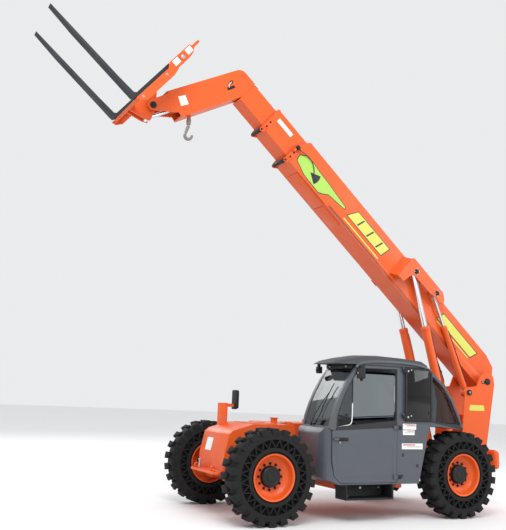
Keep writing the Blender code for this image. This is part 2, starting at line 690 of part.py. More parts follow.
def cab_roof(machine, finishes):
    """Crowned roof pressing with a front overhang, flat below."""
    base = CAB_TOP + GAP
    left, right = CAB_LEFT + 0.012, CAB_RIGHT - 0.012
    middle = (left + right) / 2
    half = (left - right) / 2
    across = [-1.0, -0.93, -0.70, -0.35, 0.0, 0.35, 0.70, 0.93, 1.0]
    along = [(-0.985, 0.055, 0.0), (-0.90, 0.10, 0.015), (-0.60, 0.115, 0.035), (-0.20, 0.12, 0.045),
             (0.15, 0.11, 0.04), (0.38, 0.08, 0.03), (0.52, 0.05, 0.02), (0.60, 0.025, 0.01)]
    bm = bmesh.new()
    rows = []
    for x, height, crown in along:
        row = []
        for share in across:
            pull = 0.24 * max(0.0, share) ** 3 if x > 0.3 else 0.0
            edge = height if abs(share) < 0.95 else height * 0.45
            z = base + edge + crown * (1 - share * share)
            row.append(bm.verts.new((x - pull * (x - 0.3) / 0.3, middle + share * half, z)))
        rows.append(row)
    for i in range(len(rows) - 1):
        for j in range(len(across) - 1):
            bm.faces.new((rows[i][j], rows[i + 1][j], rows[i + 1][j + 1], rows[i][j + 1]))
    rim = [edge for edge in bm.edges if edge.is_boundary]
    grown = bmesh.ops.extrude_edge_only(bm, edges=rim)
    skirt = [item for item in grown["geom"] if isinstance(item, bmesh.types.BMVert)]
    for vert in skirt:
        vert.co.z = base
    bmesh.ops.holes_fill(bm, edges=[edge for edge in bm.edges if edge.is_boundary])
    bmesh.ops.recalc_face_normals(bm, faces=bm.faces)
    made = solid("cab_roof", [bm], finish=finishes["grey"], smooth=35)
    hang(made, machine)


def cab_doors(machine, finishes):
    hinge_x = -0.425
    hinge_y = CAB_LEFT + 0.012 + RUN
    outline = [(x - hinge_x, z) for x, z in door_outline()]
    panel = [prism(outline, CAB_LEFT - CAB_WALL - hinge_y, CAB_LEFT + 0.002 - hinge_y)]
    for z in (0.64, 1.36):
        panel.append(rod((0, 0, z - 0.035), (0, 0, z + 0.035), 0.011, 12))
        panel.append(block((0.0, -0.012, z - 0.030), (0.075, 0.006, z + 0.030)))
    panel.append(block((1.06, -0.012, 1.165), (1.14, 0.028, 1.195)))
    door = solid("lower_door", panel, finish=finishes["grey"])
    hang(door, machine, (hinge_x, hinge_y, 0))
    axis_x, axis_y = LEAF_HINGE_X, CAB_LEFT + LEAF_STAND_OFF
    leaf = [(-1.050, 1.470), (-0.545, 1.470), (-0.545, 2.262), (-0.985, 2.262), (-1.050, 2.200)]
    outline = [(x - axis_x, z) for x, z in leaf]
    upper = [prism(outline, 0.0, 0.010)]
    for z in LEAF_HINGES:
        upper.append(rod((0, 0, z - 0.03), (0, 0, z + 0.03), 0.011, 12))
        upper.append(block((-0.10, 0.001, z - 0.022), (0.0, 0.011, z + 0.022)))
        upper.append(rod((-0.085, 0.005, z), (-0.085, 0.018, z), 0.016, 12))
    leaf_door = solid("upper_door", upper, finish=finishes["glass"])
    hang(leaf_door, machine, (axis_x, axis_y, 0))


def cab_inside(machine, finishes):
    floor = CAB_FLOOR + 0.03 + GAP
    middle = (CAB_LEFT + CAB_RIGHT) / 2
    console = prism([(0.34, floor), (0.50, floor), (0.755, 0.74), (0.755, 1.16), (0.62, 1.24), (0.50, 1.26),
                     (0.46, 1.10), (0.55, 0.90)], CAB_RIGHT + CAB_WALL + GAP, CAB_LEFT - 0.23)
    wheel_centre = Vector((0.20, middle, 1.40))
    axis = Vector((-0.55, 0.0, 0.83)).normalized()
    column = rod(Vector((0.56, middle, 1.20)), wheel_centre, 0.030, 12)
    ring = bmesh.new()
    profile = []
    for i in range(8):
        angle = math.tau * i / 8
        profile.append(ring.verts.new((0.19 + 0.014 * math.cos(angle), 0, 0.014 * math.sin(angle))))
    edges = [ring.edges.new((profile[i - 1], profile[i])) for i in range(8)]
    bmesh.ops.spin(ring, geom=profile + edges, cent=(0, 0, 0), axis=(0, 0, 1), angle=math.tau, steps=28,
                   use_merge=True)
    bmesh.ops.recalc_face_normals(ring, faces=ring.faces)
    turn = Vector((0, 0, 1)).rotation_difference(axis).to_matrix().to_4x4()
    bmesh.ops.transform(ring, matrix=Matrix.Translation(wheel_centre) @ turn, verts=ring.verts)
    spokes = [rod((-0.188, 0, 0), (0.188, 0, 0), 0.010, 8), rod((0, 0, 0), (0, 0.188, 0), 0.010, 8)]
    for spoke in spokes:
        bmesh.ops.transform(spoke, matrix=Matrix.Translation(wheel_centre) @ turn, verts=spoke.verts)
    made = solid("dash_and_wheel", [console, column, ring] + spokes, finish=finishes["black"], smooth=35)
    hang(made, machine)
    base = [block((-0.66, middle - 0.20, floor), (-0.18, middle + 0.20, floor + 0.30)),
            block((-0.70, middle - 0.24, floor + 0.28), (-0.14, middle + 0.24, floor + 0.36)),
            block((-0.84, middle - 0.14, floor + 0.30), (-0.69, middle + 0.14, floor + 0.36))]
    hang(solid("seat_base", base, finish=finishes["black"]), machine)
    top = floor + 0.36 + GAP
    cushion = block((-0.66, middle - 0.23, top), (-0.14, middle + 0.23, top + 0.11))
    hang(solid("seat_cushion", [cushion], finish=finishes["black"]), machine)
    lean = prism([(-0.665, top + 0.02), (-0.80, top + 0.70), (-0.91, top + 0.66), (-0.78, top)],
                 middle - 0.22, middle + 0.22)
    hang(solid("seat_back", [lean], finish=finishes["black"]), machine)


def cab_step(machine, finish):
    """Bent step plate hung below the door."""
    outer = CAB_LEFT + 0.03
    top = CAB_FLOOR - GAP
    parts = [block((-0.34, 0.98, 0.325), (0.50, outer, 0.350)),
             block((0.475, 0.98, 0.33), (0.50, outer, top)),
             block((-0.34, 0.98, 0.33), (-0.31, outer, top)),
             block((-0.34, 0.98, 0.33), (0.50, 1.00, top)),
             prism([(0.48, 0.34), (0.48, top - 0.04), (0.34, 0.34)], 1.10, 1.13)]
    hang(solid("cab_step", parts, finish=finish), machine)


# ---------------------------------------------------------------- boom
def square_tube(half, low, high, start, end, wall):
    shape = block((start, -half, low), (end, half, high))
    bore = block((start - 0.05, -half + wall, low + wall), (end + 0.05, half - wall, high - wall))
    return shape, bore


def outer_boom(pivot, finish):
    outline = [(BOOM_LENGTH, BOOM_LOW), (BOOM_LENGTH, 0.20), (BOOM_LENGTH - 0.14, BOOM_HIGH),
               (0.22, BOOM_HIGH), (-0.02, 0.372), (-0.10, 0.262), (-0.13, 0.02), (-0.09, -0.08),
               (-0.02, BOOM_LOW)]
    parts = [prism(outline, -BOOM_HALF, BOOM_HALF)]
    bore = block((-0.30, -BOOM_HALF + BOOM_WALL, BOOM_LOW + BOOM_WALL),
                 (BOOM_LENGTH + 0.1, BOOM_HALF - BOOM_WALL, BOOM_HIGH - BOOM_WALL))
    hub = rod((0, -TOWER_INNER + RUN, 0), (0, TOWER_INNER - RUN, 0), 0.088, 24)
    ear = [(1.61, 0.30), (1.65, 0.38), (1.75, 0.45), (2.57, 0.45), (2.61, 0.41), (2.61, -0.02),
           (2.47, -0.02), (2.44, 0.13), (2.40, 0.225), (1.95, 0.235), (1.80, 0.275), (1.70, 0.26)]
    web_front = block((2.56, BOOM_HALF - 0.01, -0.018), (2.60, EAR_OUTER - 0.003, 0.42))
    web_mid = block((2.08, BOOM_HALF - 0.01, 0.39), (2.12, EAR_OUTER - 0.003, 0.44))
    cheek = [(2.585, BOOM_HALF - 0.01), (2.585, EAR_OUTER), (2.60, EAR_OUTER), (2.69, BOOM_HALF + 0.001),
             (2.69, BOOM_HALF - 0.01)]
    shapes = [prism(ear, EAR_INNER, EAR_OUTER), web_front, web_mid, prism(cheek, -0.016, 0.405, "XY")]
    for side in (1, -1):
        for shape in shapes:
            parts.append(sided(shape.copy(), side))
    # bottom wear pads inside the front end, and the front collar
    pad_low = block((BOOM_LENGTH - PAD, -0.12, BOOM_LOW + 0.004),
                    (BOOM_LENGTH - 0.005, 0.12, MID_LOW - RUN))
    made = solid("outer_boom", parts[:1], [bore])
    ears = [raw_bm(made)] + parts[1:] + [hub, pad_low]
    bpy.data.objects.remove(made, do_unlink=True)
    bore = hole((0, -0.5, 0), (0, 0.5, 0), PIN_RADIUS)
    made = solid("outer_boom", ears, [bore], finish=finish)
    for shape in shapes:
        shape.free()
    return hang(made, pivot)


def raw_bm(item):
    bm = bmesh.new()
    bm.from_mesh(item.data)
    return bm


def mid_boom(slide, finish):
    tube, bore = square_tube(MID_HALF, MID_LOW, MID_HIGH, MID_TAIL, MID_NOSE, MID_WALL)
    top = block((MID_TAIL + 0.01, -0.12, MID_HIGH - 0.004),
                (MID_TAIL + PAD, 0.12, BOOM_HIGH - BOOM_WALL - RUN))
    low = block((MID_NOSE - PAD, -0.09, MID_LOW + 0.004), (MID_NOSE - 0.005, 0.09, FLY_LOW - RUN))
    made = solid("mid_boom", [tube], [bore])
    whole = [raw_bm(made), top, low]
    bpy.data.objects.remove(made, do_unlink=True)
    made = solid("mid_boom", whole, finish=finish)
    return hang(made, slide)


def neck_outline():
    """Gooseneck side outline in the boom's frame at full retraction of the fly section."""
    corner = Vector((5.88, 0.313))
    along = Vector((math.cos(-NECK_ANGLE), math.sin(-NECK_ANGLE)))
    down = Vector((along.y, -along.x))
    tip_high = corner + along * NECK_LENGTH
    tip_low = tip_high + down * NECK_DEPTH - along * 0.06
    bend = Vector((5.515, 0.03))
    root_top = Vector((5.515, FLY_HIGH + 0.015))
    return root_top, corner, tip_high, tip_low, bend


def neck_shapes():
    root_top, corner, tip_high, tip_low, bend = neck_outline()
    round_off = arc((corner.x - 0.145, corner.y - 0.085), 0.148, 92, 20, 6)
    outline = [tuple(root_top)] + round_off + [tuple(tip_high), tuple(tip_low), tuple(bend)]
    along = (tip_high - corner).normalized()
    down = Vector((along.y, -along.x))
    inside = [
        corner + along * 0.42 + down * 0.022,
        tip_high + along * 0.1 + down * 0.022,
        tip_high + along * 0.1 + down * (NECK_DEPTH - 0.024),
        corner + along * 0.42 + down * (NECK_DEPTH - 0.024),
    ]
    parts = [prism(outline, -NECK_HALF, NECK_HALF)]
    hollow = prism([tuple(point) for point in inside], -NECK_HALF + NECK_WALL, NECK_HALF - NECK_WALL)
    return parts, hollow


def machine_to_boom(x, z):
    """Machine coordinates, as it stands, to the boom's frame."""
    dx, dz = x - PIVOT_X, z - PIVOT_Z
    c, s = math.cos(BOOM_ANGLE), math.sin(BOOM_ANGLE)
    return dx * c + dz * s, dz * c - dx * s


def fly_boom(slide, finish):
    tube, bore = square_tube(FLY_HALF, FLY_LOW, FLY_HIGH, FLY_TAIL, 5.5145, FLY_WALL)
    top = block((FLY_TAIL + 0.01, -0.09, FLY_HIGH - 0.004),
                (FLY_TAIL + PAD, 0.09, MID_HIGH - MID_WALL - RUN))
    made = solid("fly_boom", [tube], [bore])
    whole = [raw_bm(made), top]
    bpy.data.objects.remove(made, do_unlink=True)
    made = solid("fly_boom", whole, finish=finish)
    return hang(made, slide)


def neck_and_head(slide, finish):
    """Gooseneck with the fork carriage's pivot ears on its nose."""
    parts, hollow = neck_shapes()
    pivot_s, pivot_r = machine_to_boom(TILT_X, TILT_Z)
    pivot_s -= 2 * EXTENDED
    root_top, corner, tip_high, tip_low, bend = neck_outline()
    along = (tip_high - corner).normalized()
    down = Vector((along.y, -along.x))
    near_high = tip_high - along * 0.22 + down * 0.02
    near_low = tip_low - along * 0.10 - down * 0.04
    ear = [tuple(near_high)]
    ear += arc((pivot_s, pivot_r), 0.085, 20, -110, 8)
    ear += [tuple(near_low)]
    for side in (1, -1):
        parts.append(sided(prism(ear, NECK_HALF - 0.035, NECK_HALF - 0.001), side))
    pin = rod((pivot_s, -NECK_HALF + 0.01, pivot_r), (pivot_s, NECK_HALF - 0.01, pivot_r), HEAD_PIN, 20)
    hook_s, hook_r = machine_to_boom(HOOK_X, HOOK_Z)
    hook_s -= 2 * EXTENDED
    up_s, up_r = machine_to_boom(HOOK_X, HOOK_Z + 0.12)
    up_s -= 2 * EXTENDED
    toward = Vector((up_s - hook_s, up_r - hook_r)).normalized()
    across = Vector((toward.y, -toward.x)) * HOOK_LUG
    start = math.degrees(math.atan2(across.y, across.x))
    lug = [tuple(Vector((up_s, up_r)) + across)]
    lug += arc((hook_s, hook_r), HOOK_LUG, start, start - 180, 10)
    lug += [tuple(Vector((up_s, up_r)) - across)]
    made = solid("gooseneck", parts[:1], [hollow])
    whole = [raw_bm(made)] + parts[1:] + [pin, prism(lug, -HOOK_EYE, HOOK_EYE)]
    bpy.data.objects.remove(made, do_unlink=True)
    bore = hole((hook_s, -0.1, hook_r), (hook_s, 0.1, hook_r), HOOK_PIN)
    made = solid("gooseneck", whole, [bore], finish=finish)
    return hang(made, slide)


def lift_hook(machine, finish):
    """Load hook with its clevis round the gooseneck's lug, hanging plumb as the machine stands."""
    inner = HOOK_EYE + RUN
    outer = inner + 0.012
    cheek = [(-0.030, -0.075), (0.030, -0.075)] + arc((0, 0), 0.030, 0, 180, 8)
    parts = [block((-0.030, -outer, -0.075), (0.030, outer, -0.038))]
    parts += [prism(cheek, inner, outer), prism(cheek, -outer, -inner)]
    parts.append(rod((0, -outer - 0.006, 0), (0, outer + 0.006, 0), HOOK_PIN, 16))
    parts.append(rod((0, 0, -0.07), (0, 0, -0.13), 0.020, 12))
    bowl = Vector((-0.005, -0.260))
    hook = [(-0.022, -0.115), (0.036, -0.115), (0.055, -0.205)]
    hook += arc(bowl, 0.075, 20, -200, 12)
    hook += arc((bowl.x, bowl.y + 0.005), 0.038, -190, 10, 8)
    hook += [(0.015, -0.205)]
    parts.append(prism(hook, -0.018, 0.018))
    made = solid("lift_hook", parts, finish=finish)
    return hang(made, machine, (HOOK_X, 0, HOOK_Z))


# ---------------------------------------------------------------- cylinders
def cylinder_pair(label, machine, base, y, sizes, pin, finishes, eye_y):
    """Barrel turning on its base eye and its rod, both drawn along +X from the base pin."""
    barrel_r, rod_r, barrel_length, tail = sizes
    reach = math.hypot(pin[0] - base[0], pin[1] - base[1])
    angle = math.atan2(pin[1] - base[1], pin[0] - base[0])
    low, high = eye_y[0] - y, eye_y[1] - y
    barrel = [
        rod((0.0, low, 0.0), (0.0, high, 0.0), EYE_RADIUS, 20),
        rod((0.03, 0, 0), (barrel_length, 0, 0), barrel_r, 24),
    ]
    bore = rod((BORE_START, 0, 0), (barrel_length + 0.1, 0, 0), rod_r + 0.001, 20)
    body = solid(f"{label}_barrel", barrel, [bore], finish=finishes["orange"], smooth=35)
    hang(body, machine, (base[0], y, base[1]), -angle)
    rod_parts = [
        rod((tail, 0, 0), (reach - 0.02, 0, 0), rod_r, 20),
        rod((reach, low, 0), (reach, high, 0), EYE_RADIUS * 0.78, 20),
    ]
    ram = solid(f"{label}_rod", rod_parts, finish=finishes["steel"], smooth=35)
    hang(ram, machine, (base[0], y, base[1]), -angle)


def boom_to_machine(s, r):
    c, n = math.cos(BOOM_ANGLE), math.sin(BOOM_ANGLE)
    return PIVOT_X + s * c - r * n, PIVOT_Z + s * n + r * c


def lift_cylinders(machine, finishes):
    for flank, side in (("left", 1), ("right", -1)):
        pin = boom_to_machine(*LIFT_PIN)
        eye = sorted((side * (BOOM_HALF + RUN), side * (EAR_INNER - RUN)))
        sizes = (LIFT_BARREL, LIFT_ROD, LIFT_BARREL_LENGTH, LIFT_TAIL)
        cylinder_pair(f"{flank}_lift_cylinder", machine, LIFT_BASE, side * LIFT_Y, sizes, pin,
                      finishes, eye)
        pin = boom_to_machine(*SLAVE_PIN)
        eye = sorted((side * (BOOM_HALF + RUN), side * (TOWER_INNER - RUN)))
        sizes = (SLAVE_BARREL, SLAVE_ROD, SLAVE_BARREL_LENGTH, SLAVE_TAIL)
        cylinder_pair(f"{flank}_levelling_cylinder", machine, SLAVE_BASE, side * SLAVE_Y, sizes, pin,
                      finishes, eye)


def tilt_cylinder(machine, finishes):
    end = (TILT_X + TILT_PIN[0], TILT_Z + TILT_PIN[1])
    reach = TILT_REACH
    slope = TILT_SLOPE
    base = (end[0] - reach * math.cos(slope), end[1] - reach * math.sin(slope))
    inner = NECK_HALF - NECK_WALL - RUN
    barrel = [rod((0, -inner, 0), (0, inner, 0), 0.05, 16),
              rod((0.03, 0, 0), (0.56, 0, 0), TILT_BARREL, 20)]
    bore = rod((0.10, 0, 0), (0.7, 0, 0), TILT_ROD + 0.001, 16)
    body = solid("tilt_cylinder_barrel", barrel, [bore], finish=finishes["orange"], smooth=35)
    hang(body, machine, (base[0], 0, base[1]), -slope)
    ram = [rod((TILT_TAIL, 0, 0), (reach - 0.02, 0, 0), TILT_ROD, 16),
           rod((reach, -0.045, 0), (reach, 0.045, 0), 0.05, 16)]
    made = solid("tilt_cylinder_rod", ram, finish=finishes["steel"], smooth=35)
    hang(made, machine, (base[0], 0, base[1]), -slope)


# ---------------------------------------------------------------- fork carriage and forks
def carriage(machine, finishes):
    """Drawn in the fork frame: X along the forks, Z up the shanks, origin on the tilt pivot."""
    def at(v, u):
        return v - PIVOT_V, u - PIVOT_U
    back = -FORK_THICK - GAP
    deep = back - CARRIAGE_BACK
    side = [at(deep + 0.03, 0.02), at(back, 0.0), at(back, 0.72), at(0.0, 0.80),
            at(0.0, CARRIAGE_TOP - 0.17), at(-0.035, CARRIAGE_TOP - 0.15), at(-0.035, CARRIAGE_TOP),
            at(-0.075, CARRIAGE_TOP), at(-0.080, CARRIAGE_TOP - 0.13),
            at(deep + 0.03, CARRIAGE_TOP - 0.20), at(deep + 0.01, CARRIAGE_TOP - 0.30),
            at(deep + 0.01, 0.88), at(deep - 0.03, 0.72), at(deep - 0.03, 0.12)]
    half = CARRIAGE_HALF
    parts = []
    for low, high in ((half - 0.03, half), (-half, -half + 0.03)):
        parts.append(prism(side, low, high))
    for low, high in ((0.02, 0.16), (0.66, 0.76)):
        v0, u0 = at(back - 0.05, low)
        v1, u1 = at(back, high)
        parts.append(block((v0, -half + 0.01, u0), (v1, half - 0.01, u1)))
    shaft_x, shaft_z = at(SHAFT_V, SHAFT_U)
    ends = [(shaft_x, sign * (half - 0.01), shaft_z) for sign in (-1, 1)]
    parts.append(rod(*ends, SHAFT_RADIUS, 20))
    ears = [at(back - 0.002, 0.03), at(back - 0.002, 0.74)]
    ears += arc((0.0, 0.0), 0.085, 100, 180, 5)
    eye_x, eye_z = fork_frame(*TILT_PIN)
    ears += [(eye_x - 0.06, eye_z - 0.02), (eye_x + 0.02, eye_z - 0.07)]
    gap = 0.052
    for low, high in ((gap, gap + 0.03), (-gap - 0.03, -gap)):
        parts.append(prism(ears, low, high))
    bore = hole((0, -0.2, 0), (0, 0.2, 0), HEAD_PIN)
    made = solid("fork_carriage", parts, [bore], finish=finishes["orange"])
    hang(made, machine, (TILT_X, 0, TILT_Z), -FORK_ANGLE)
    for flank, sign in (("left", 1), ("right", -1)):
        inner = sign * (FORK_Y - FORK_WIDTH / 2)
        outer = sign * (FORK_Y + FORK_WIDTH / 2)
        low, high = min(inner, outer), max(inner, outer)
        blade = [at(-FORK_THICK, 0.05), at(-FORK_THICK + 0.02, 0.0), at(0.02, -0.005), at(1.2, 0.0),
                 at(FORK_LENGTH, 0.022), at(FORK_LENGTH, 0.034), at(0.35, 0.050), at(0.03, 0.062),
                 at(0.0, 0.09), at(0.0, SHAFT_U + 0.05), at(-FORK_THICK, SHAFT_U + 0.05)]
        eye = rod((shaft_x, low + 0.02, shaft_z), (shaft_x, high - 0.02, shaft_z), FORK_EYE, 20)
        bore = hole((shaft_x, low - 0.1, shaft_z), (shaft_x, high + 0.1, shaft_z), SHAFT_RADIUS)
        fork = solid(f"{flank}_fork", [prism(blade, low, high), eye], [bore], finish=finishes["black"])
        hang(fork, machine, (TILT_X, 0, TILT_Z), -FORK_ANGLE)


def fork_frame(dx, dz):
    c, s = math.cos(FORK_ANGLE), math.sin(FORK_ANGLE)
    return dx * c + dz * s, dz * c - dx * s


# ---------------------------------------------------------------- assembly
def centre_on_origin(machine):
    """Puts the middle of the overall box's footprint on the world origin."""
    bpy.context.view_layer.update()
    xs = []
    for item in bpy.context.scene.objects:
        if item.type == "MESH":
            xs += [(item.matrix_world @ vert.co).x for vert in item.data.vertices]
    machine.location.x = -(min(xs) + max(xs)) / 2


def build():
    clear_scene()
    finishes = {
        "orange": paint("machine_orange", ORANGE, 0.35),
        "grey": paint("cab_grey", GREY, 0.40),
        "black": paint("satin_black", BLACK, 0.50),
        "rubber": paint("tyre_rubber", BLACK, 0.85),
        "steel": paint("bright_steel", STEEL, 0.18, 1.0),
        "glass": paint("smoked_glass", SMOKE, 0.08),
    }
    machine = anchor("machine", None, (0, 0, 0))
    running_gear(machine, finishes)
    main_frame(machine, finishes["orange"])
    front_nose(machine, finishes["orange"])
    front_mirror(machine, finishes["black"])
    boom_tower(machine, finishes["orange"])
    counterweight(machine, finishes["orange"])
    engine_pod(machine, finishes)
    cab_shell(machine, finishes)
    cab_glass(machine, finishes)
    cab_panes(machine, finishes)
    cab_roof(machine, finishes)
    cab_doors(machine, finishes)
    cab_inside(machine, finishes)
    cab_step(machine, finishes["black"])
    pivot = anchor("boom_pivot", machine, (PIVOT_X, 0, PIVOT_Z), -BOOM_ANGLE)
    outer_boom(pivot, finishes["orange"])
    mid_slide = anchor("mid_slide", pivot, (EXTENDED, 0, 0))
    mid_boom(mid_slide, finishes["orange"])
    fly_slide = anchor("fly_slide", mid_slide, (EXTENDED, 0, 0))
    fly_boom(fly_slide, finishes["orange"])
    neck_and_head(fly_slide, finishes["orange"])
    lift_hook(machine, finishes["steel"])
    lift_cylinders(machine, finishes)
    tilt_cylinder(machine, finishes)
    carriage(machine, finishes)
    centre_on_origin(machine)


build()
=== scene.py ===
"""Looks of the telehandler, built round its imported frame.

Places are given in the machine's own frame: +X forward from the middle of the wheelbase, +Y to
the cab side, +Z up from the ground.  Boom, neck and fork pieces are given along those members.
"""
import json
import math

import bmesh
import bpy
from mathutils import Matrix, Vector

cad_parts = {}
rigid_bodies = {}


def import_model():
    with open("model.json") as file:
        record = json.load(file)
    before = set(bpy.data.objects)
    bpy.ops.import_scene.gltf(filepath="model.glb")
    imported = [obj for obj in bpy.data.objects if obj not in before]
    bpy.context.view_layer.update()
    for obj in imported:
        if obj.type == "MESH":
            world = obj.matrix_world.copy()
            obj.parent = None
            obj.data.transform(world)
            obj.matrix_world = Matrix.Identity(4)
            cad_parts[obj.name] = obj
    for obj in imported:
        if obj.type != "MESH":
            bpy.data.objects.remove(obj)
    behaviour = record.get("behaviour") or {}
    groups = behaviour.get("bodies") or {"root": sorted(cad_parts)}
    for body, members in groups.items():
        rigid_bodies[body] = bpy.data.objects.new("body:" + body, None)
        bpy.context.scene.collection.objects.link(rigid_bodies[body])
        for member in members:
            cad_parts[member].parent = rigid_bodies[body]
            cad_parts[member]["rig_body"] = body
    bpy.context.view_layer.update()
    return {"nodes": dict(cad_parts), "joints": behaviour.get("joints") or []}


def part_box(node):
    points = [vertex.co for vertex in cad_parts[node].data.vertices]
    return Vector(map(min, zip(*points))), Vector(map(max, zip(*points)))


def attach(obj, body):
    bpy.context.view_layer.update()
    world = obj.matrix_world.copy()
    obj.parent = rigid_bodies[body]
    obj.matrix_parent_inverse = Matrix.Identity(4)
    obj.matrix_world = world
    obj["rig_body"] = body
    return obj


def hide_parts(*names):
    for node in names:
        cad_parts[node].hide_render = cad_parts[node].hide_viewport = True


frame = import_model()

JOINTS = {joint["name"]: joint for joint in frame["joints"]}
LEFT_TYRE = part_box("front_left_tyre")
WHEELBASE = 3.344
SHIFT = (LEFT_TYRE[0].x + LEFT_TYRE[1].x) / 2 - WHEELBASE / 2
MACHINE = Matrix.Translation((SHIFT, 0, 0))
SIDES = (1, -1)


def pitched(origin, along):
    """Frame at a point with its X along a direction in the XZ plane, Y across."""
    along = Vector(along).normalized()
    across = Vector((0, 1, 0))
    up = along.cross(across)
    turn = Matrix((along, across, up)).transposed().to_4x4()
    return Matrix.Translation(origin) @ turn


BOOM = pitched(JOINTS["boom_lift"]["pos_m"], JOINTS["mid_extend"]["axis"])
EXTENDED = 0.52
MID = BOOM @ Matrix.Translation((EXTENDED, 0, 0))
FLY = BOOM @ Matrix.Translation((2 * EXTENDED, 0, 0))
NECK_ANGLE = math.radians(69.45)
NECK_CORNER = (5.88, 0, 0.313)
NECK = FLY @ Matrix.Translation(NECK_CORNER) @ Matrix.Rotation(NECK_ANGLE, 4, "Y")
FORK_ANGLE = math.radians(39.6)
FORK_HEEL = (0.29, 0, -0.36)
FORKS = pitched(JOINTS["carriage_tilt"]["pos_m"], (math.cos(FORK_ANGLE), 0, math.sin(FORK_ANGLE)))
FORKS = FORKS @ Matrix.Translation(FORK_HEEL)

# ---------------------------------------------------------------- finishes
FINISHES = {}


def link(tree, source, output, target, socket):
    tree.links.new(source.outputs[output], target.inputs[socket])


def new_node(tree, kind, values=None):
    made = tree.nodes.new("ShaderNode" + kind)
    for socket, value in (values or {}).items():
        made.inputs[socket].default_value = value
    return made


def new_material(name, values):
    made = bpy.data.materials.new(name)
    made.use_nodes = True
    shader = made.node_tree.nodes["Principled BSDF"]
    for socket, value in values.items():
        shader.inputs[socket].default_value = value
    FINISHES[name] = made
    return made, made.node_tree, shader


def blended(tree, source, colour, shade, shader):
    """Two colours mixed by a pattern, into the shader."""
    blend = tree.nodes.new("ShaderNodeMix")
    blend.data_type = "RGBA"
    blend.inputs[6].default_value = (*colour, 1)
    blend.inputs[7].default_value = (*shade, 1)
    link(tree, source, "Fac", blend, 0)
    link(tree, blend, 2, shader, "Base Color")


def finish(name, colour, shade, rough=(0.32, 0.45), metallic=0.0, patch=3.0, grain=260.0, bump=0.06,
           coat=0.0, sheen=0.0, stretch=(1, 1, 1), specular=0.5):
    """Finish whose colour, gloss and fine relief vary over the piece."""
    made, tree, shader = new_material(name, {"Metallic": metallic, "Coat Weight": coat,
                                             "Coat Roughness": 0.08, "Sheen Weight": sheen,
                                             "Specular IOR Level": specular})
    place = new_node(tree, "TexCoord")
    turn = new_node(tree, "Mapping", {"Scale": stretch})
    link(tree, place, "Object", turn, "Vector")
    cloud = new_node(tree, "TexNoise", {"Scale": patch, "Detail": 5.0})
    link(tree, turn, "Vector", cloud, "Vector")
    blended(tree, cloud, colour, shade, shader)
    gloss = new_node(tree, "MapRange", {"From Min": 0.3, "From Max": 0.7, "To Min": rough[0],
                                        "To Max": rough[1]})
    link(tree, cloud, "Fac", gloss, "Value")
    link(tree, gloss, "Result", shader, "Roughness")
    fine = new_node(tree, "TexNoise", {"Scale": grain, "Detail": 3.0})
    link(tree, turn, "Vector", fine, "Vector")
    relief = new_node(tree, "Bump", {"Strength": bump, "Distance": 0.002})
    link(tree, fine, "Fac", relief, "Height")
    link(tree, relief, "Normal", shader, "Normal")
    return made


def clear_finish(name, colour, rough, specular=0.5):
    """Glass or lens: transmitting, its tint and gloss faintly uneven."""
    made, tree, shader = new_material(name, {"Transmission Weight": 1.0, "IOR": 1.45,
                                             "Specular IOR Level": specular})
    place = new_node(tree, "TexCoord")
    wave = new_node(tree, "TexNoise", {"Scale": 1.6})
    link(tree, place, "Object", wave, "Vector")
    blended(tree, wave, colour, [part * 0.9 for part in colour], shader)
    haze = new_node(tree, "MapRange", {"To Min": rough, "To Max": rough + 0.02})
    link(tree, wave, "Fac", haze, "Value")
    link(tree, haze, "Result", shader, "Roughness")
    return made


def cloth_finish(name, colour, shade):
    """Woven seat cloth: crossed threads at about 1.5 mm with a soft sheen."""
    made = finish(name, colour, shade, rough=(0.85, 0.95), patch=14.0, grain=700.0, bump=0.25, sheen=0.35)
    tree = made.node_tree
    relief = next(node for node in tree.nodes if node.bl_idname == "ShaderNodeBump")
    place = next(node for node in tree.nodes if node.bl_idname == "ShaderNodeTexCoord")
    threads = []
    for direction in ("X", "Z"):
        wave = new_node(tree, "TexWave", {"Scale": 210.0, "Distortion": 0.6})
        wave.bands_direction = direction
        link(tree, place, "Object", wave, "Vector")
        threads.append(wave)
    weave = tree.nodes.new("ShaderNodeMath")
    weave.operation = "MAXIMUM"
    link(tree, threads[0], "Fac", weave, 0)
    link(tree, threads[1], "Fac", weave, 1)
    tree.links.new(weave.outputs[0], relief.inputs["Height"])
    return made


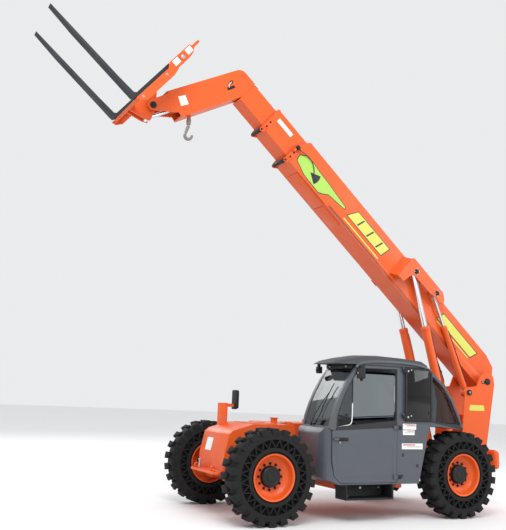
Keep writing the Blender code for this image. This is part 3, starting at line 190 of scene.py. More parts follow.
def make_finishes():
    finish("orange_enamel", (0.720, 0.104, 0.017), (0.665, 0.090, 0.013), rough=(0.34, 0.46), bump=0.05,
           coat=0.1, specular=0.3)
    finish("cab_slate", (0.070, 0.080, 0.094), (0.058, 0.067, 0.080), rough=(0.36, 0.46), bump=0.05,
           coat=0.15)
    finish("roof_slate", (0.046, 0.052, 0.060), (0.034, 0.039, 0.046), rough=(0.5, 0.62), grain=420,
           bump=0.12)
    finish("satin_black", (0.012, 0.0125, 0.0135), (0.008, 0.0085, 0.009), rough=(0.42, 0.55), bump=0.08,
           specular=0.3)
    finish("black_plastic", (0.017, 0.0175, 0.0185), (0.011, 0.0115, 0.0125), rough=(0.5, 0.62), grain=520,
           bump=0.18, specular=0.3)
    finish("tyre_rubber", (0.0095, 0.0098, 0.0110), (0.018, 0.0178, 0.0180), rough=(0.72, 0.92), patch=7,
           grain=330, bump=0.22, specular=0.2)
    finish("seal_rubber", (0.012, 0.012, 0.013), (0.020, 0.020, 0.021), rough=(0.6, 0.75), bump=0.1)
    finish("fork_steel", (0.040, 0.044, 0.052), (0.026, 0.029, 0.035), rough=(0.38, 0.60), patch=5,
           metallic=0.55, bump=0.12, stretch=(1, 1, 0.3))
    finish("chrome_rod", (0.82, 0.82, 0.84), (0.70, 0.70, 0.72), rough=(0.10, 0.20), metallic=1.0, grain=900,
           bump=0.03)
    finish("zinc_steel", (0.55, 0.55, 0.56), (0.38, 0.38, 0.39), rough=(0.3, 0.5), metallic=0.9, patch=20,
           bump=0.1)
    finish("hook_steel", (0.30, 0.27, 0.24), (0.17, 0.15, 0.13), rough=(0.4, 0.6), metallic=0.7, patch=25,
           bump=0.3)
    finish("leaf_green", (0.36, 0.60, 0.085), (0.31, 0.54, 0.07), rough=(0.35, 0.45), bump=0.03)
    finish("band_yellow", (0.62, 0.62, 0.10), (0.56, 0.55, 0.08), rough=(0.35, 0.45), bump=0.03)
    finish("graphic_black", (0.016, 0.016, 0.016), (0.022, 0.022, 0.022), rough=(0.35, 0.45), bump=0.03)
    finish("plate_red", (0.55, 0.10, 0.08), (0.48, 0.08, 0.07), rough=(0.4, 0.5), bump=0.03)
    finish("plate_line", (0.22, 0.22, 0.24), (0.18, 0.18, 0.20), rough=(0.4, 0.5), bump=0.03)
    finish("plate_white", (0.80, 0.80, 0.79), (0.70, 0.70, 0.69), rough=(0.35, 0.5), patch=30, bump=0.04)
    finish("lamp_silver", (0.85, 0.86, 0.88), (0.75, 0.76, 0.78), rough=(0.08, 0.16), metallic=1.0, bump=0.02)
    finish("amber_lens", (0.85, 0.30, 0.02), (0.72, 0.22, 0.01), rough=(0.12, 0.2), patch=60, bump=0.1)
    finish("red_lens", (0.55, 0.015, 0.012), (0.42, 0.01, 0.01), rough=(0.12, 0.2), patch=60, bump=0.1)
    finish("mirror_face", (0.9, 0.9, 0.92), (0.86, 0.86, 0.88), rough=(0.02, 0.05), metallic=1.0, bump=0.005)
    finish("hose_rubber", (0.016, 0.016, 0.017), (0.028, 0.028, 0.028), rough=(0.45, 0.6), grain=480,
           bump=0.2)
    clear_finish("tinted_glass", (0.27, 0.30, 0.31), 0.01)
    clear_finish("dark_glass", (0.006, 0.006, 0.007), 0.02, specular=0.1)
    clear_finish("lamp_glass", (0.92, 0.94, 0.95), 0.02)
    cloth_finish("seat_cloth", (0.028, 0.029, 0.032), (0.045, 0.046, 0.050))


# ---------------------------------------------------------------- shapes
def rounded(bm, edges, offset, segments=2):
    bmesh.ops.bevel(bm, geom=edges, offset=offset, segments=segments, affect="EDGES", profile=0.5,
                    material=-1)


def shift_grown(bm, grown, step):
    """What an extrusion has just made, moved along."""
    bmesh.ops.translate(bm, verts=[item for item in grown["geom"] if isinstance(item, bmesh.types.BMVert)],
                        vec=step)


def slab(low, high, rounding=0.004, segments=2):
    """Box between two corners with rounded edges."""
    bm = bmesh.new()
    bmesh.ops.create_cube(bm, size=1.0)
    low, high = Vector(low), Vector(high)
    bmesh.ops.scale(bm, vec=high - low, verts=bm.verts)
    bmesh.ops.translate(bm, vec=(low + high) / 2, verts=bm.verts)
    rounding = min(rounding, min(high - low) * 0.45)
    if rounding > 0:
        rounded(bm, list(bm.edges), rounding, segments)
    return bm


def plank(along, middle, half, upward, rounding=0.004, segments=2):
    """Box between two places along and two upward, as wide on both sides of a place across."""
    return slab((along[0], middle - half, upward[0]), (along[1], middle + half, upward[1]), rounding,
                segments)


def sheet(outline, low, high, rounding=0.0, plane="XZ"):
    """Plate cut to an outline, between two depths along the plane's normal."""
    order = {"XZ": (0, 2, 1), "XY": (0, 1, 2)}[plane]
    bm = bmesh.new()
    corners = []
    for first, second in outline:
        place = [0.0, 0.0, 0.0]
        place[order[0]], place[order[1]], place[order[2]] = first, second, low
        corners.append(bm.verts.new(place))
    face = bm.faces.new(corners)
    grown = bmesh.ops.extrude_face_region(bm, geom=[face])
    rise = [0.0, 0.0, 0.0]
    rise[order[2]] = high - low
    shift_grown(bm, grown, rise)
    bmesh.ops.recalc_face_normals(bm, faces=bm.faces)
    if rounding > 0:
        rounded(bm, list(bm.edges), rounding)
    return bm


def bar(start, end, radius, steps=24, end_radius=None, rounding=0.0):
    """Round bar between two points."""
    start, end = Vector(start), Vector(end)
    bm = bmesh.new()
    bmesh.ops.create_cone(bm, cap_ends=True, segments=steps, radius1=radius,
                          radius2=radius if end_radius is None else end_radius, depth=(end - start).length)
    if rounding > 0:
        rims = [edge for edge in bm.edges if len(edge.link_faces) == 2
                and any(len(face.verts) > 4 for face in edge.link_faces)]
        rounded(bm, rims, rounding)
    turn = Vector((0, 0, 1)).rotation_difference(end - start).to_matrix().to_4x4()
    bmesh.ops.transform(bm, matrix=Matrix.Translation((start + end) / 2) @ turn, verts=bm.verts)
    return bm


def peg(x, z, start, end, radius, steps=24, rounding=0.0):
    """Round bar across the machine."""
    return bar((x, start, z), (x, end, z), radius, steps, rounding=rounding)


def upright(x, y, low, high, radius, steps=24, rounding=0.0):
    """Round bar standing up."""
    return bar((x, y, low), (x, y, high), radius, steps, rounding=rounding)


def stud(x, far, y, z, radius, steps=24, rounding=0.0):
    """Round bar along the machine."""
    return bar((x, y, z), (far, y, z), radius, steps, rounding=rounding)


def lathe(profile, steps=96):
    """Outline of (radius, y) points spun about Y."""
    bm = bmesh.new()
    ring = [bm.verts.new((radius, along, 0)) for radius, along in profile]
    edges = [bm.edges.new((ring[i], ring[i + 1])) for i in range(len(ring) - 1)]
    edges.append(bm.edges.new((ring[-1], ring[0])))
    bmesh.ops.spin(bm, geom=ring + edges, cent=(0, 0, 0), axis=(0, 1, 0), angle=math.tau, steps=steps,
                   use_merge=True)
    bmesh.ops.remove_doubles(bm, verts=bm.verts, dist=1e-5)
    bmesh.ops.dissolve_degenerate(bm, edges=bm.edges, dist=1e-6)
    bmesh.ops.recalc_face_normals(bm, faces=bm.faces)
    return bm


def ball(centre, radius, squeeze=(1, 1, 1)):
    bm = bmesh.new()
    bmesh.ops.create_uvsphere(bm, u_segments=24, v_segments=14, radius=radius)
    bmesh.ops.scale(bm, vec=squeeze, verts=bm.verts)
    bmesh.ops.translate(bm, vec=centre, verts=bm.verts)
    return bm


def hose(points, radius, steps=10):
    """Smooth tube through points, as a mesh."""
    curve = bpy.data.curves.new("hose_path", "CURVE")
    curve.dimensions = "3D"
    curve.bevel_depth = radius
    curve.bevel_resolution = max(1, steps // 4)
    curve.use_fill_caps = True
    spline = curve.splines.new("NURBS")
    spline.points.add(len(points) - 1)
    for knot, point in zip(spline.points, points):
        knot.co = (*point, 1)
    spline.use_endpoint_u = True
    spline.order_u = min(4, len(points))
    spline.resolution_u = 8
    carrier = bpy.data.objects.new("hose_path", curve)
    bpy.context.scene.collection.objects.link(carrier)
    bpy.context.view_layer.update()
    mesh = bpy.data.meshes.new_from_object(carrier.evaluated_get(bpy.context.evaluated_depsgraph_get()))
    bm = bmesh.new()
    bm.from_mesh(mesh)
    bpy.data.objects.remove(carrier, do_unlink=True)
    bmesh.ops.recalc_face_normals(bm, faces=bm.faces)
    return bm


def together(shapes):
    """Several shapes as one mesh."""
    whole = bmesh.new()
    for shape in shapes:
        mesh = bpy.data.meshes.new("part")
        shape.to_mesh(mesh)
        shape.free()
        whole.from_mesh(mesh)
        bpy.data.meshes.remove(mesh)
    return whole


def turned(bm, matrix):
    bmesh.ops.transform(bm, matrix=matrix, verts=bm.verts)
    if matrix.determinant() < 0:
        bmesh.ops.reverse_faces(bm, faces=bm.faces)
    return bm


def piece(name, shapes, finish_name, body="chassis", place=MACHINE, smooth=35, stands_for=()):
    """Finished piece: its shapes as one mesh, put in place, with its finish, on its body."""
    bm = together(shapes if isinstance(shapes, list) else [shapes])
    turned(bm, place)
    mesh = bpy.data.meshes.new(name)
    bm.to_mesh(mesh)
    bm.free()
    made = bpy.data.objects.new(name, mesh)
    bpy.context.scene.collection.objects.link(made)
    mesh.materials.append(FINISHES[finish_name])
    if smooth:
        mesh.shade_smooth()
        mesh.set_sharp_from_angle(angle=math.radians(smooth))
    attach(made, body)
    if stands_for:
        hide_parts(*stands_for)
    return made


def body_of(node):
    return frame["nodes"][node]["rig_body"]


def refined(node, finish_name, rounding=0.004, smooth=35):
    """A frame piece again, its flats joined up and its edges rounded."""
    bm = bmesh.new()
    bm.from_mesh(frame["nodes"][node].data)
    bmesh.ops.remove_doubles(bm, verts=bm.verts, dist=1e-5)
    bmesh.ops.dissolve_limit(bm, angle_limit=math.radians(0.6), verts=bm.verts, edges=bm.edges)
    made = piece(node + "_finished", bm, finish_name, body_of(node), place=Matrix.Identity(4), smooth=smooth,
                 stands_for=(node,))
    if rounding:
        edge = made.modifiers.new("rounded_edges", "BEVEL")
        edge.width = rounding
        edge.segments = 2
        edge.limit_method = "ANGLE"
        edge.angle_limit = math.radians(32)
        edge.use_clamp_overlap = True
        edge.harden_normals = False
    return made


# ---------------------------------------------------------------- wheels
LUGS = 22
WEB_SPOKES = 24
HUB_FACE = 0.10
STUDS = 12


def tyre_casing():
    """Casing with a ring channel in each sidewall for the open web."""
    flank = [(0.3015, 0.1645), (0.322, 0.1645), (0.326, 0.152), (0.340, 0.152), (0.346, 0.176),
             (0.356, 0.1785), (0.392, 0.1785), (0.397, 0.174), (0.399, 0.120), (0.503, 0.120),
             (0.505, 0.172), (0.510, 0.1775), (0.540, 0.1785), (0.566, 0.1745), (0.590, 0.163),
             (0.606, 0.143), (0.613, 0.112), (0.617, 0.060)]
    back = [(radius, -along) for radius, along in reversed(flank)]
    return lathe(flank + back, 96)


def tyre_web(side):
    """Zigzag spokes that leave triangular openings round the sidewall."""
    shapes = []
    for number in range(WEB_SPOKES):
        for lean in (-1, 1):
            start = math.tau * number / WEB_SPOKES
            end = start + lean * math.tau / WEB_SPOKES / 2
            low = Vector((0.394 * math.cos(start), 0, 0.394 * math.sin(start)))
            high = Vector((0.508 * math.cos(end), 0, 0.508 * math.sin(end)))
            along = high - low
            bm = slab((0, -0.026, -0.0075), (along.length, 0.026, 0.0075), 0.0025, 1)
            turn = Matrix((along.normalized(), Vector((0, 1, 0)),
                           along.normalized().cross(Vector((0, 1, 0)))))
            place = Matrix.Translation(low + Vector((0, side * 0.150, 0))) @ turn.transposed().to_4x4()
            shapes.append(turned(bm, place))
    return shapes


def tyre_lugs():
    """Chunky tread bars, staggered left and right, that wrap over the shoulders."""
    shapes = []
    crown = [(-0.052, 0.176), (0.056, 0.176), (0.046, 0.105), (0.004, -0.012), (-0.052, -0.012),
             (-0.040, 0.060)]
    shoulder = [(-0.050, 0.150), (0.053, 0.150), (0.048, 0.1795), (-0.045, 0.1795)]
    for number in range(LUGS):
        for side in SIDES:
            angle = math.tau * (number + (0.5 if side < 0 else 0.0)) / LUGS
            for outline, low, high in ((crown, 0.596, 0.6555), (shoulder, 0.556, 0.640)):
                bm = sheet([(u, side * y) for u, y in outline], low, high, 0.006, "XY")
                if side < 0:
                    bmesh.ops.recalc_face_normals(bm, faces=bm.faces)
                shapes.append(turned(bm, Matrix.Rotation(angle, 4, "Y")))
    return shapes


def rim_dish():
    outer = [(0.150, 0.028), (0.204, 0.028), (0.212, 0.031), (0.262, 0.062), (0.276, 0.078), (0.288, 0.120),
             (0.2925, 0.158), (0.296, 0.168), (0.302, 0.172), (0.308, 0.1745), (0.319, 0.1775),
             (0.3195, 0.1660), (0.3, 0.1653)]
    inner = [(0.3, -0.1653), (0.3195, -0.1660), (0.319, -0.1775), (0.303, -0.1775), (0.286, -0.150),
             (0.283, 0.010), (0.262, 0.030), (0.205, 0.006), (0.150, 0.006)]
    return lathe(outer + inner, 96)


def hub_cover():
    return lathe([(0.0, HUB_FACE - 0.004), (0.030, HUB_FACE - 0.004), (0.034, HUB_FACE), (0.066, HUB_FACE),
                  (0.072, HUB_FACE - 0.008), (0.100, HUB_FACE - 0.008), (0.106, HUB_FACE - 0.003),
                  (0.126, HUB_FACE - 0.003), (0.139, HUB_FACE - 0.013), (0.1435, HUB_FACE - 0.030),
                  (0.1445, 0.046), (0.149, 0.040), (0.150, 0.0285), (0.150, 0.006), (0.119, 0.004),
                  (0.119, -0.029), (0.0, -0.029)], 64)


def wheel_nuts():
    shapes = []
    for number in range(STUDS):
        angle = math.tau * number / STUDS
        place = Matrix.Rotation(angle, 4, "Y") @ Matrix.Translation((0.177, 0, 0))
        nut = bar((0, 0.0275, 0), (0, 0.047, 0), 0.0155, 6)
        shank = bar((0, 0.045, 0), (0, 0.060, 0), 0.008, 12)
        collar = bar((0, 0.0275, 0), (0, 0.032, 0), 0.020, 16)
        shapes += [turned(shape, place) for shape in (nut, shank, collar)]
    for number in range(8):
        angle = math.tau * (number + 0.5) / 8
        place = Matrix.Rotation(angle, 4, "Y") @ Matrix.Translation((0.116, 0, 0))
        shapes.append(turned(bar((0, HUB_FACE - 0.005, 0), (0, HUB_FACE, 0), 0.008, 6), place))
    return shapes


def wheels():
    for end in ("front", "rear"):
        for flank, side in (("left", 1), ("right", -1)):
            node = f"{end}_{flank}"
            low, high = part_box(node + "_tyre")
            centre = (low + high) / 2
            place = Matrix.Translation(centre) @ Matrix.Scale(side, 4, (0, 1, 0))
            body = node + "_wheel"
            rubber = [tyre_casing()] + tyre_web(1) + tyre_web(-1) + tyre_lugs()
            piece(node + "_tread_tyre", rubber, "tyre_rubber", body, place, 38, (node + "_tyre",))
            piece(node + "_wheel_dish", rim_dish(), "orange_enamel", body, place, 38, (node + "_rim",))
            piece(node + "_hub_cover", hub_cover(), "satin_black", body, place, 35)
            piece(node + "_wheel_nuts", wheel_nuts(), "satin_black", body, place, 30)
            valve = [bar((0.245, 0.052, 0), (0.262, 0.095, 0), 0.005, 10),
                     bar((0.262, 0.095, 0), (0.266, 0.106, 0), 0.0065, 10)]
            piece(node + "_valve", valve, "zinc_steel", body, place, 30)
            refined(node + "_knuckle", "satin_black", 0.003)


# ---------------------------------------------------------------- chassis
def bolt(place, direction, radius=0.014, height=0.010):
    """Hex bolt head standing on a face, with its washer."""
    place, direction = Vector(place), Vector(direction).normalized()
    return [bar(place - direction * 0.001, place + direction * 0.003, radius * 1.45, 18),
            bar(place + direction * 0.002, place + direction * height, radius, 6)]


def chassis_metal():
    for node, rounding in (("main_frame", 0.003), ("front_nose", 0.006), ("boom_tower", 0.004),
                           ("counterweight", 0.045), ("front_axle", 0.004), ("rear_axle", 0.004),
                           ("engine_pod", 0.006), ("engine_hood", 0.010)):
        refined(node, "orange_enamel", rounding)
    refined("engine_block", "satin_black", 0.012)
    refined("cab_step", "satin_black", 0.004)


def nose_details():
    heads = []
    for x in (1.02, 1.25, 1.48):
        for side in SIDES:
            heads += bolt((x, side * 0.45, 1.075), (0, side, 0))
    for x in (1.695, 1.765):
        heads += bolt((x, -0.36, 1.39), (0, 1, 0), 0.010, 0.008)
    piece("nose_bolts", heads, "zinc_steel")
    # blank plate on the sloping face, tow pin, deck hatch and block, eyes on the bumper plate
    slope = pitched((SHIFT + 2.0365, -0.16, 1.010), (0.075, 0, -0.325))
    piece("nose_plate", slab((-0.095, -0.105, -0.0004), (0.095, 0.105, 0.0014), 0.0005, 1), "plate_white",
          place=slope)
    pin = [upright(2.16, -0.20, 0.6505, 0.770, 0.016, 20, 0.003),
           upright(2.16, -0.20, 0.770, 0.785, 0.026, 20, 0.003)]
    piece("tow_pin", pin, "zinc_steel")
    hatch = [plank((1.16, 1.56), 0, 0.34, (1.3345, 1.343), 0.003),
             plank((1.22, 1.34), 0, 0.05, (1.342, 1.350), 0.003)]
    piece("deck_hatch", hatch, "orange_enamel")
    piece("deck_stub_cap", plank((0.980, 1.070), 0, 0.062, (1.409, 1.425)), "orange_enamel")
    piece("deck_block", slab((0.905, 0.20, 1.3345), (0.955, 0.36, 1.375), 0.006), "orange_enamel")
    eyes = [turned(lathe([(0.022, -0.010), (0.022, 0.010), (0.040, 0.010), (0.040, -0.010)], 28),
                   Matrix.Translation((2.165, side * 0.30, 0.688))) for side in SIDES]
    piece("bumper_eyes", eyes, "orange_enamel")
    # mirror: its shell, and the silvered face towards the driver
    refined("front_mirror", "black_plastic", 0.014)
    low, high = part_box("front_mirror")
    face = slab((low.x - 0.0012, low.y + 0.014, low.z + 0.020),
                (low.x + 0.004, high.y - 0.014, high.z - 0.022), 0.0015, 1)
    piece("mirror_glass", face, "mirror_face", place=Matrix.Identity(4))
    piece("mirror_clamp", upright(1.535, -0.40, 1.565, 1.605, 0.024, 20, 0.002), "satin_black")


PIVOT = (-3.04, 2.15)
LEVELLING_BASE = (-2.62, 1.947)


def tower_details():
    caps, heads, plates = [], [], []
    for side in SIDES:
        caps += [peg(*PIVOT, side * 0.360, side * 0.380, 0.056, 36, 0.004),
                 plank((-3.015, -2.905), side * 0.3655, 0.005, (2.115, 2.155), 0.003),
                 peg(*LEVELLING_BASE, side * 0.360, side * 0.384, 0.048, 30, 0.003)]
        heads += bolt((-2.925, side * 0.3705, 2.135), (0, side, 0), 0.010, 0.008)
        heads += bolt((LEVELLING_BASE[0], side * 0.384, LEVELLING_BASE[1]), (0, side, 0), 0.012, 0.009)
        plates.append(sheet([(-2.97, 1.640), (-2.62, 1.640), (-2.64, 1.735), (-2.95, 1.735)], side * 0.3600,
                            side * 0.3615))
    for y in (-0.42, -0.26, 0.26, 0.42):
        heads += bolt((-3.2203, y, 0.76), (-1, 0, 0), 0.020, 0.014)
    piece("pivot_pin_caps", caps, "satin_black")
    piece("tower_bolts", heads, "zinc_steel")
    piece("tower_plates", plates, "band_yellow")
    lamps = [plank((-3.2225, -3.206), side * 0.36, 0.05, (0.885, 0.925)) for side in SIDES]
    piece("tail_lamps", lamps, "red_lens")
    hoses = [hose([(-2.50, y, 0.70), (-2.72, y, 0.80), (-2.86, y, 1.20), (-2.92, y, 1.70),
                   (-2.95, y + 0.01, 1.90)], 0.013) for y in (-0.10, -0.04, 0.02, 0.08)]
    piece("tower_hoses", hoses, "hose_rubber")


POD_FACE = -1.22
STACK = (-0.15, -0.88)


def engine_details():
    outer = POD_FACE
    piece("grille_panel", slab((-0.62, outer - 0.0075, 0.80), (0.56, outer + 0.003, 1.16), 0.004),
          "satin_black")
    slats = []
    for number in range(9):
        z = 0.835 + number * 0.036
        slats.append(slab((-0.58, outer - 0.019, z), (0.52, outer - 0.004, z + 0.012), 0.002, 1))
    piece("grille_slats", slats, "orange_enamel")
    latches = [slab((x - 0.03, outer - 0.016, 1.20), (x + 0.03, outer + 0.002, 1.270), 0.006)
               for x in (-0.62, 0.52)]
    piece("pod_latches", latches, "black_plastic")
    # exhaust stack on the hood's flat, its end turned to the rear
    x, y = STACK
    tip = Matrix.Translation((x, y, 1.565)) @ Matrix.Rotation(math.radians(-38), 4, "Y")
    stack = [upright(x, y, 1.374, 1.56, 0.036, 32, 0.003), upright(x, y, 1.372, 1.385, 0.060, 32, 0.002),
             turned(upright(0, 0, -0.02, 0.09, 0.0355, 32), tip)]
    piece("exhaust_stack", stack, "fork_steel", "hood")
    ribs = [plank((-0.74, -0.34), y, 0.014, (1.3235, 1.3335)) for y in (-1.06, -0.96, -0.86, -0.76, -0.66)]
    piece("hood_ribs", ribs, "orange_enamel", "hood")
    hinges = [stud(x - 0.05, x + 0.05, -0.48, 1.3253, 0.011, 16) for x in (-0.62, 0.0, 0.60)]
    piece("hood_hinges", hinges, "zinc_steel", "hood")
    piece("engine_caps", [upright(-0.35, -0.72, 1.139, 1.149, 0.06), upright(0.1, -0.95, 1.139, 1.15, 0.05)],
          "zinc_steel")


def step_details():
    treads = []
    for number in range(9):
        x = -0.29 + number * 0.082
        treads.append(slab((x, 1.03, 0.3495), (x + 0.05, 1.235, 0.3555), 0.002, 1))
    piece("step_treads", treads, "satin_black")
    edge = slab((-0.335, 1.2575, 0.3275), (0.495, 1.2645, 0.3475), 0.002, 1)
    piece("step_edge", edge, "black_plastic")
    heads = []
    for x in (-0.25, 0.08, 0.40):
        heads += bolt((x, 1.0003, 0.47), (0, 1, 0), 0.012, 0.010)
    piece("step_bolts", heads, "zinc_steel")


# ---------------------------------------------------------------- cab
CAB_SIDE = 1.23
CAB_FAR = 0.44
ROOF_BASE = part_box("cab_roof")[0].z
ROOF_RISE = ((-0.985, 0.055, 0.0), (-0.90, 0.10, 0.015), (-0.60, 0.115, 0.035), (-0.20, 0.12, 0.045),
             (0.15, 0.11, 0.04), (0.38, 0.08, 0.03), (0.52, 0.05, 0.02), (0.60, 0.025, 0.01))


def roof_rise(x):
    """Edge height and crown of the roof pressing at a place along it."""
    for first, last in zip(ROOF_RISE, ROOF_RISE[1:]):
        if x <= last[0]:
            share = (x - first[0]) / (last[0] - first[0])
            return [first[i] + (last[i] - first[i]) * share for i in (1, 2)]
    return ROOF_RISE[-1][1:]


def roof_pressing():
    """Crowned roof with rolled edges and a shallow front lip."""
    middle, half = (CAB_SIDE + CAB_FAR) / 2, (CAB_SIDE - CAB_FAR) / 2 + 0.011
    bm = bmesh.new()
    bmesh.ops.create_grid(bm, x_segments=44, y_segments=30, size=0.5)
    for vert in bm.verts:
        share = vert.co.y * 2
        x = -0.982 + (vert.co.x + 0.5) * 1.580
        height, crown = roof_rise(x)
        edge = 1 - max(0.0, (abs(share) - 0.86) / 0.14) ** 2.4
        ends = 1 - max(0.0, (x - 0.52) / 0.078) ** 2 * 0.7
        rib = 0.007 * max(0.0, 1 - abs(abs(share) - 0.55) / 0.05) if -0.85 < x < 0.25 else 0.0
        z = (height * (0.42 + 0.58 * edge) + crown * (1 - share * share)) * ends - rib - 0.001
        pull = 0.24 * max(0.0, share) ** 3 * max(0.0, x - 0.3) / 0.3
        vert.co = (x - pull, middle + share * half, ROOF_BASE + z)
    rim = [edge for edge in bm.edges if edge.is_boundary]
    skirt = bmesh.ops.extrude_edge_only(bm, edges=rim)
    low = [item for item in skirt["geom"] if isinstance(item, bmesh.types.BMVert)]
    for vert in low:
        vert.co.z = ROOF_BASE + 0.0004
    bmesh.ops.holes_fill(bm, edges=[edge for edge in bm.edges if edge.is_boundary])
    bmesh.ops.recalc_face_normals(bm, faces=bm.faces)
    return bm


def cab_metal():
    refined("cab_shell", "cab_slate", 0.007)
    piece("roof_pressing", roof_pressing(), "roof_slate", smooth=50, stands_for=("cab_roof",))
    refined("lower_door", "cab_slate", 0.006)
    # rail along the near roof edge, and the gutter under it
    rail = hose([(0.335, 1.226, 2.225), (0.300, 1.232, 2.275), (0.18, 1.236, 2.312), (-0.10, 1.238, 2.330),
                 (-0.50, 1.238, 2.330), (-0.82, 1.236, 2.312), (-0.97, 1.234, 2.270),
                 (-1.06, 1.230, 2.225)], 0.024, 16)
    piece("roof_rail", rail, "cab_slate")
    gutter = slab((-0.95, 1.232, 2.262), (0.26, 1.2405, 2.270), 0.003)
    piece("roof_gutter", gutter, "seal_rubber")
    # dark ledge with the lamps under the front overhang
    ledge = slab((0.290, 0.47, 2.205), (0.385, 1.17, 2.2695), 0.012)
    piece("brow_recess", ledge, "black_plastic")


def ring_of(outline, width, low, high):
    """Band round an outline, of a width inwards, between two depths across."""
    bm = bmesh.new()
    face = bm.faces.new([bm.verts.new((x, low, z)) for x, z in outline])
    bmesh.ops.recalc_face_normals(bm, faces=[face])
    bmesh.ops.inset_individual(bm, faces=[face], thickness=width, use_even_offset=True)
    bmesh.ops.delete(bm, geom=[face], context="FACES_ONLY")
    grown = bmesh.ops.extrude_face_region(bm, geom=list(bm.faces))
    shift_grown(bm, grown, (0, high - low, 0))
    bmesh.ops.recalc_face_normals(bm, faces=bm.faces)
    return bm


def cab_glazing():
    for node in ("windscreen", "rear_screen", "right_pane", "left_rear_pane", "door_front_pane"):
        refined(node, "tinted_glass", 0.0, smooth=40)
    # dark leaf folded back against the cab side
    leaf = [(-1.050, 1.470), (-0.545, 1.470), (-0.545, 2.262), (-0.985, 2.262), (-1.050, 2.200)]
    inner = [(-1.030, 1.490), (-0.565, 1.490), (-0.565, 2.242), (-0.977, 2.242), (-1.030, 2.192)]
    pane = sheet(inner, 1.2625, 1.2675, 0.001)
    piece("leaf_glass", pane, "dark_glass", "door_leaf", stands_for=("upper_door",))
    piece("leaf_frame", ring_of(leaf, 0.030, 1.2602, 1.2698), "black_plastic", "door_leaf", smooth=30)
    fittings, knobs = [], []
    for z in (1.52, 2.21):
        fittings += [bar((-0.505, 1.26, z - 0.03), (-0.505, 1.26, z + 0.03), 0.0109, 20, rounding=0.001),
                     slab((-0.605, 1.2612, z - 0.021), (-0.505, 1.2705, z + 0.021), 0.002)]
        knobs += [peg(-0.590, z, 1.268, 1.276, 0.0155, 24, 0.002),
                  peg(-0.648, z + 0.02, 1.268, 1.2765, 0.012, 20, 0.002)]
    piece("leaf_hinges", fittings, "satin_black", "door_leaf")
    piece("leaf_knobs", knobs, "zinc_steel", "door_leaf")
    catch = slab((-1.046, 1.268, 1.575), (-0.985, 1.277, 1.605), 0.003)
    piece("leaf_catch", catch, "black_plastic", "door_leaf")
    # seals round the openings in the near side
    quarter = [(-1.078, 1.448), (-1.078, 2.140), (-1.120, 2.145), (-1.303, 1.992), (-1.468, 1.780),
               (-1.594, 1.542), (-1.657, 1.408)]
    window = [(-0.412, 1.455), (0.655, 1.345), (0.656, 1.500), (0.596, 1.684), (0.512, 1.865), (0.410, 2.045),
              (0.311, 2.181), (0.266, 2.222), (-0.412, 2.232)]
    seals = [ring_of(quarter, 0.013, 1.2292, 1.2335), ring_of(window, 0.013, 1.2292, 1.2335)]
    piece("window_seals", seals, "seal_rubber", smooth=20)
    far = [(-0.943, 1.507), (-1.512, 1.507), (-1.444, 1.704), (-1.245, 1.976), (-0.948, 2.177),
           (0.263, 2.177), (0.366, 2.044), (0.466, 1.863), (0.546, 1.682), (0.587, 1.427)]
    piece("far_window_seal", ring_of(far, 0.013, 0.4365, 0.4405), "seal_rubber", smooth=20)
    # bottom rail of the door window, with the pale edge of the fixed pane
    rail = sheet([(-0.412, 1.358), (0.664, 1.305), (0.662, 1.352), (-0.412, 1.458)], 1.2302, 1.2345, 0.001)
    piece("window_rail", rail, "seal_rubber", smooth=20)
    edge = hose([(0.366, 1.1895, 2.11), (0.366, 1.1895, 1.90), (0.366, 1.1895, 1.70)], 0.008)
    piece("pane_edge", edge, "seal_rubber")
    trim = hose([(0.366, 1.1895, 1.70), (0.366, 1.1895, 1.50), (0.372, 1.1895, 1.42), (0.40, 1.1895, 1.382),
                 (0.50, 1.1895, 1.365), (0.655, 1.1895, 1.345)], 0.0085)
    piece("pane_trim", trim, "plate_white")
    # black frame along the foot of the quarter light and round the rear of the side
    foot = sheet([(-1.045, 1.452), (-1.705, 1.345), (-1.660, 1.405), (-1.078, 1.452)], 1.2303, 1.2345, 0.001)
    under = sheet([(-0.560, 1.452), (-1.050, 1.452), (-1.700, 1.347), (-1.696, 1.372), (-1.050, 1.478),
                   (-0.560, 1.478)], 1.2303, 1.2350, 0.001)
    piece("quarter_light_foot", [foot, under], "seal_rubber", smooth=20)


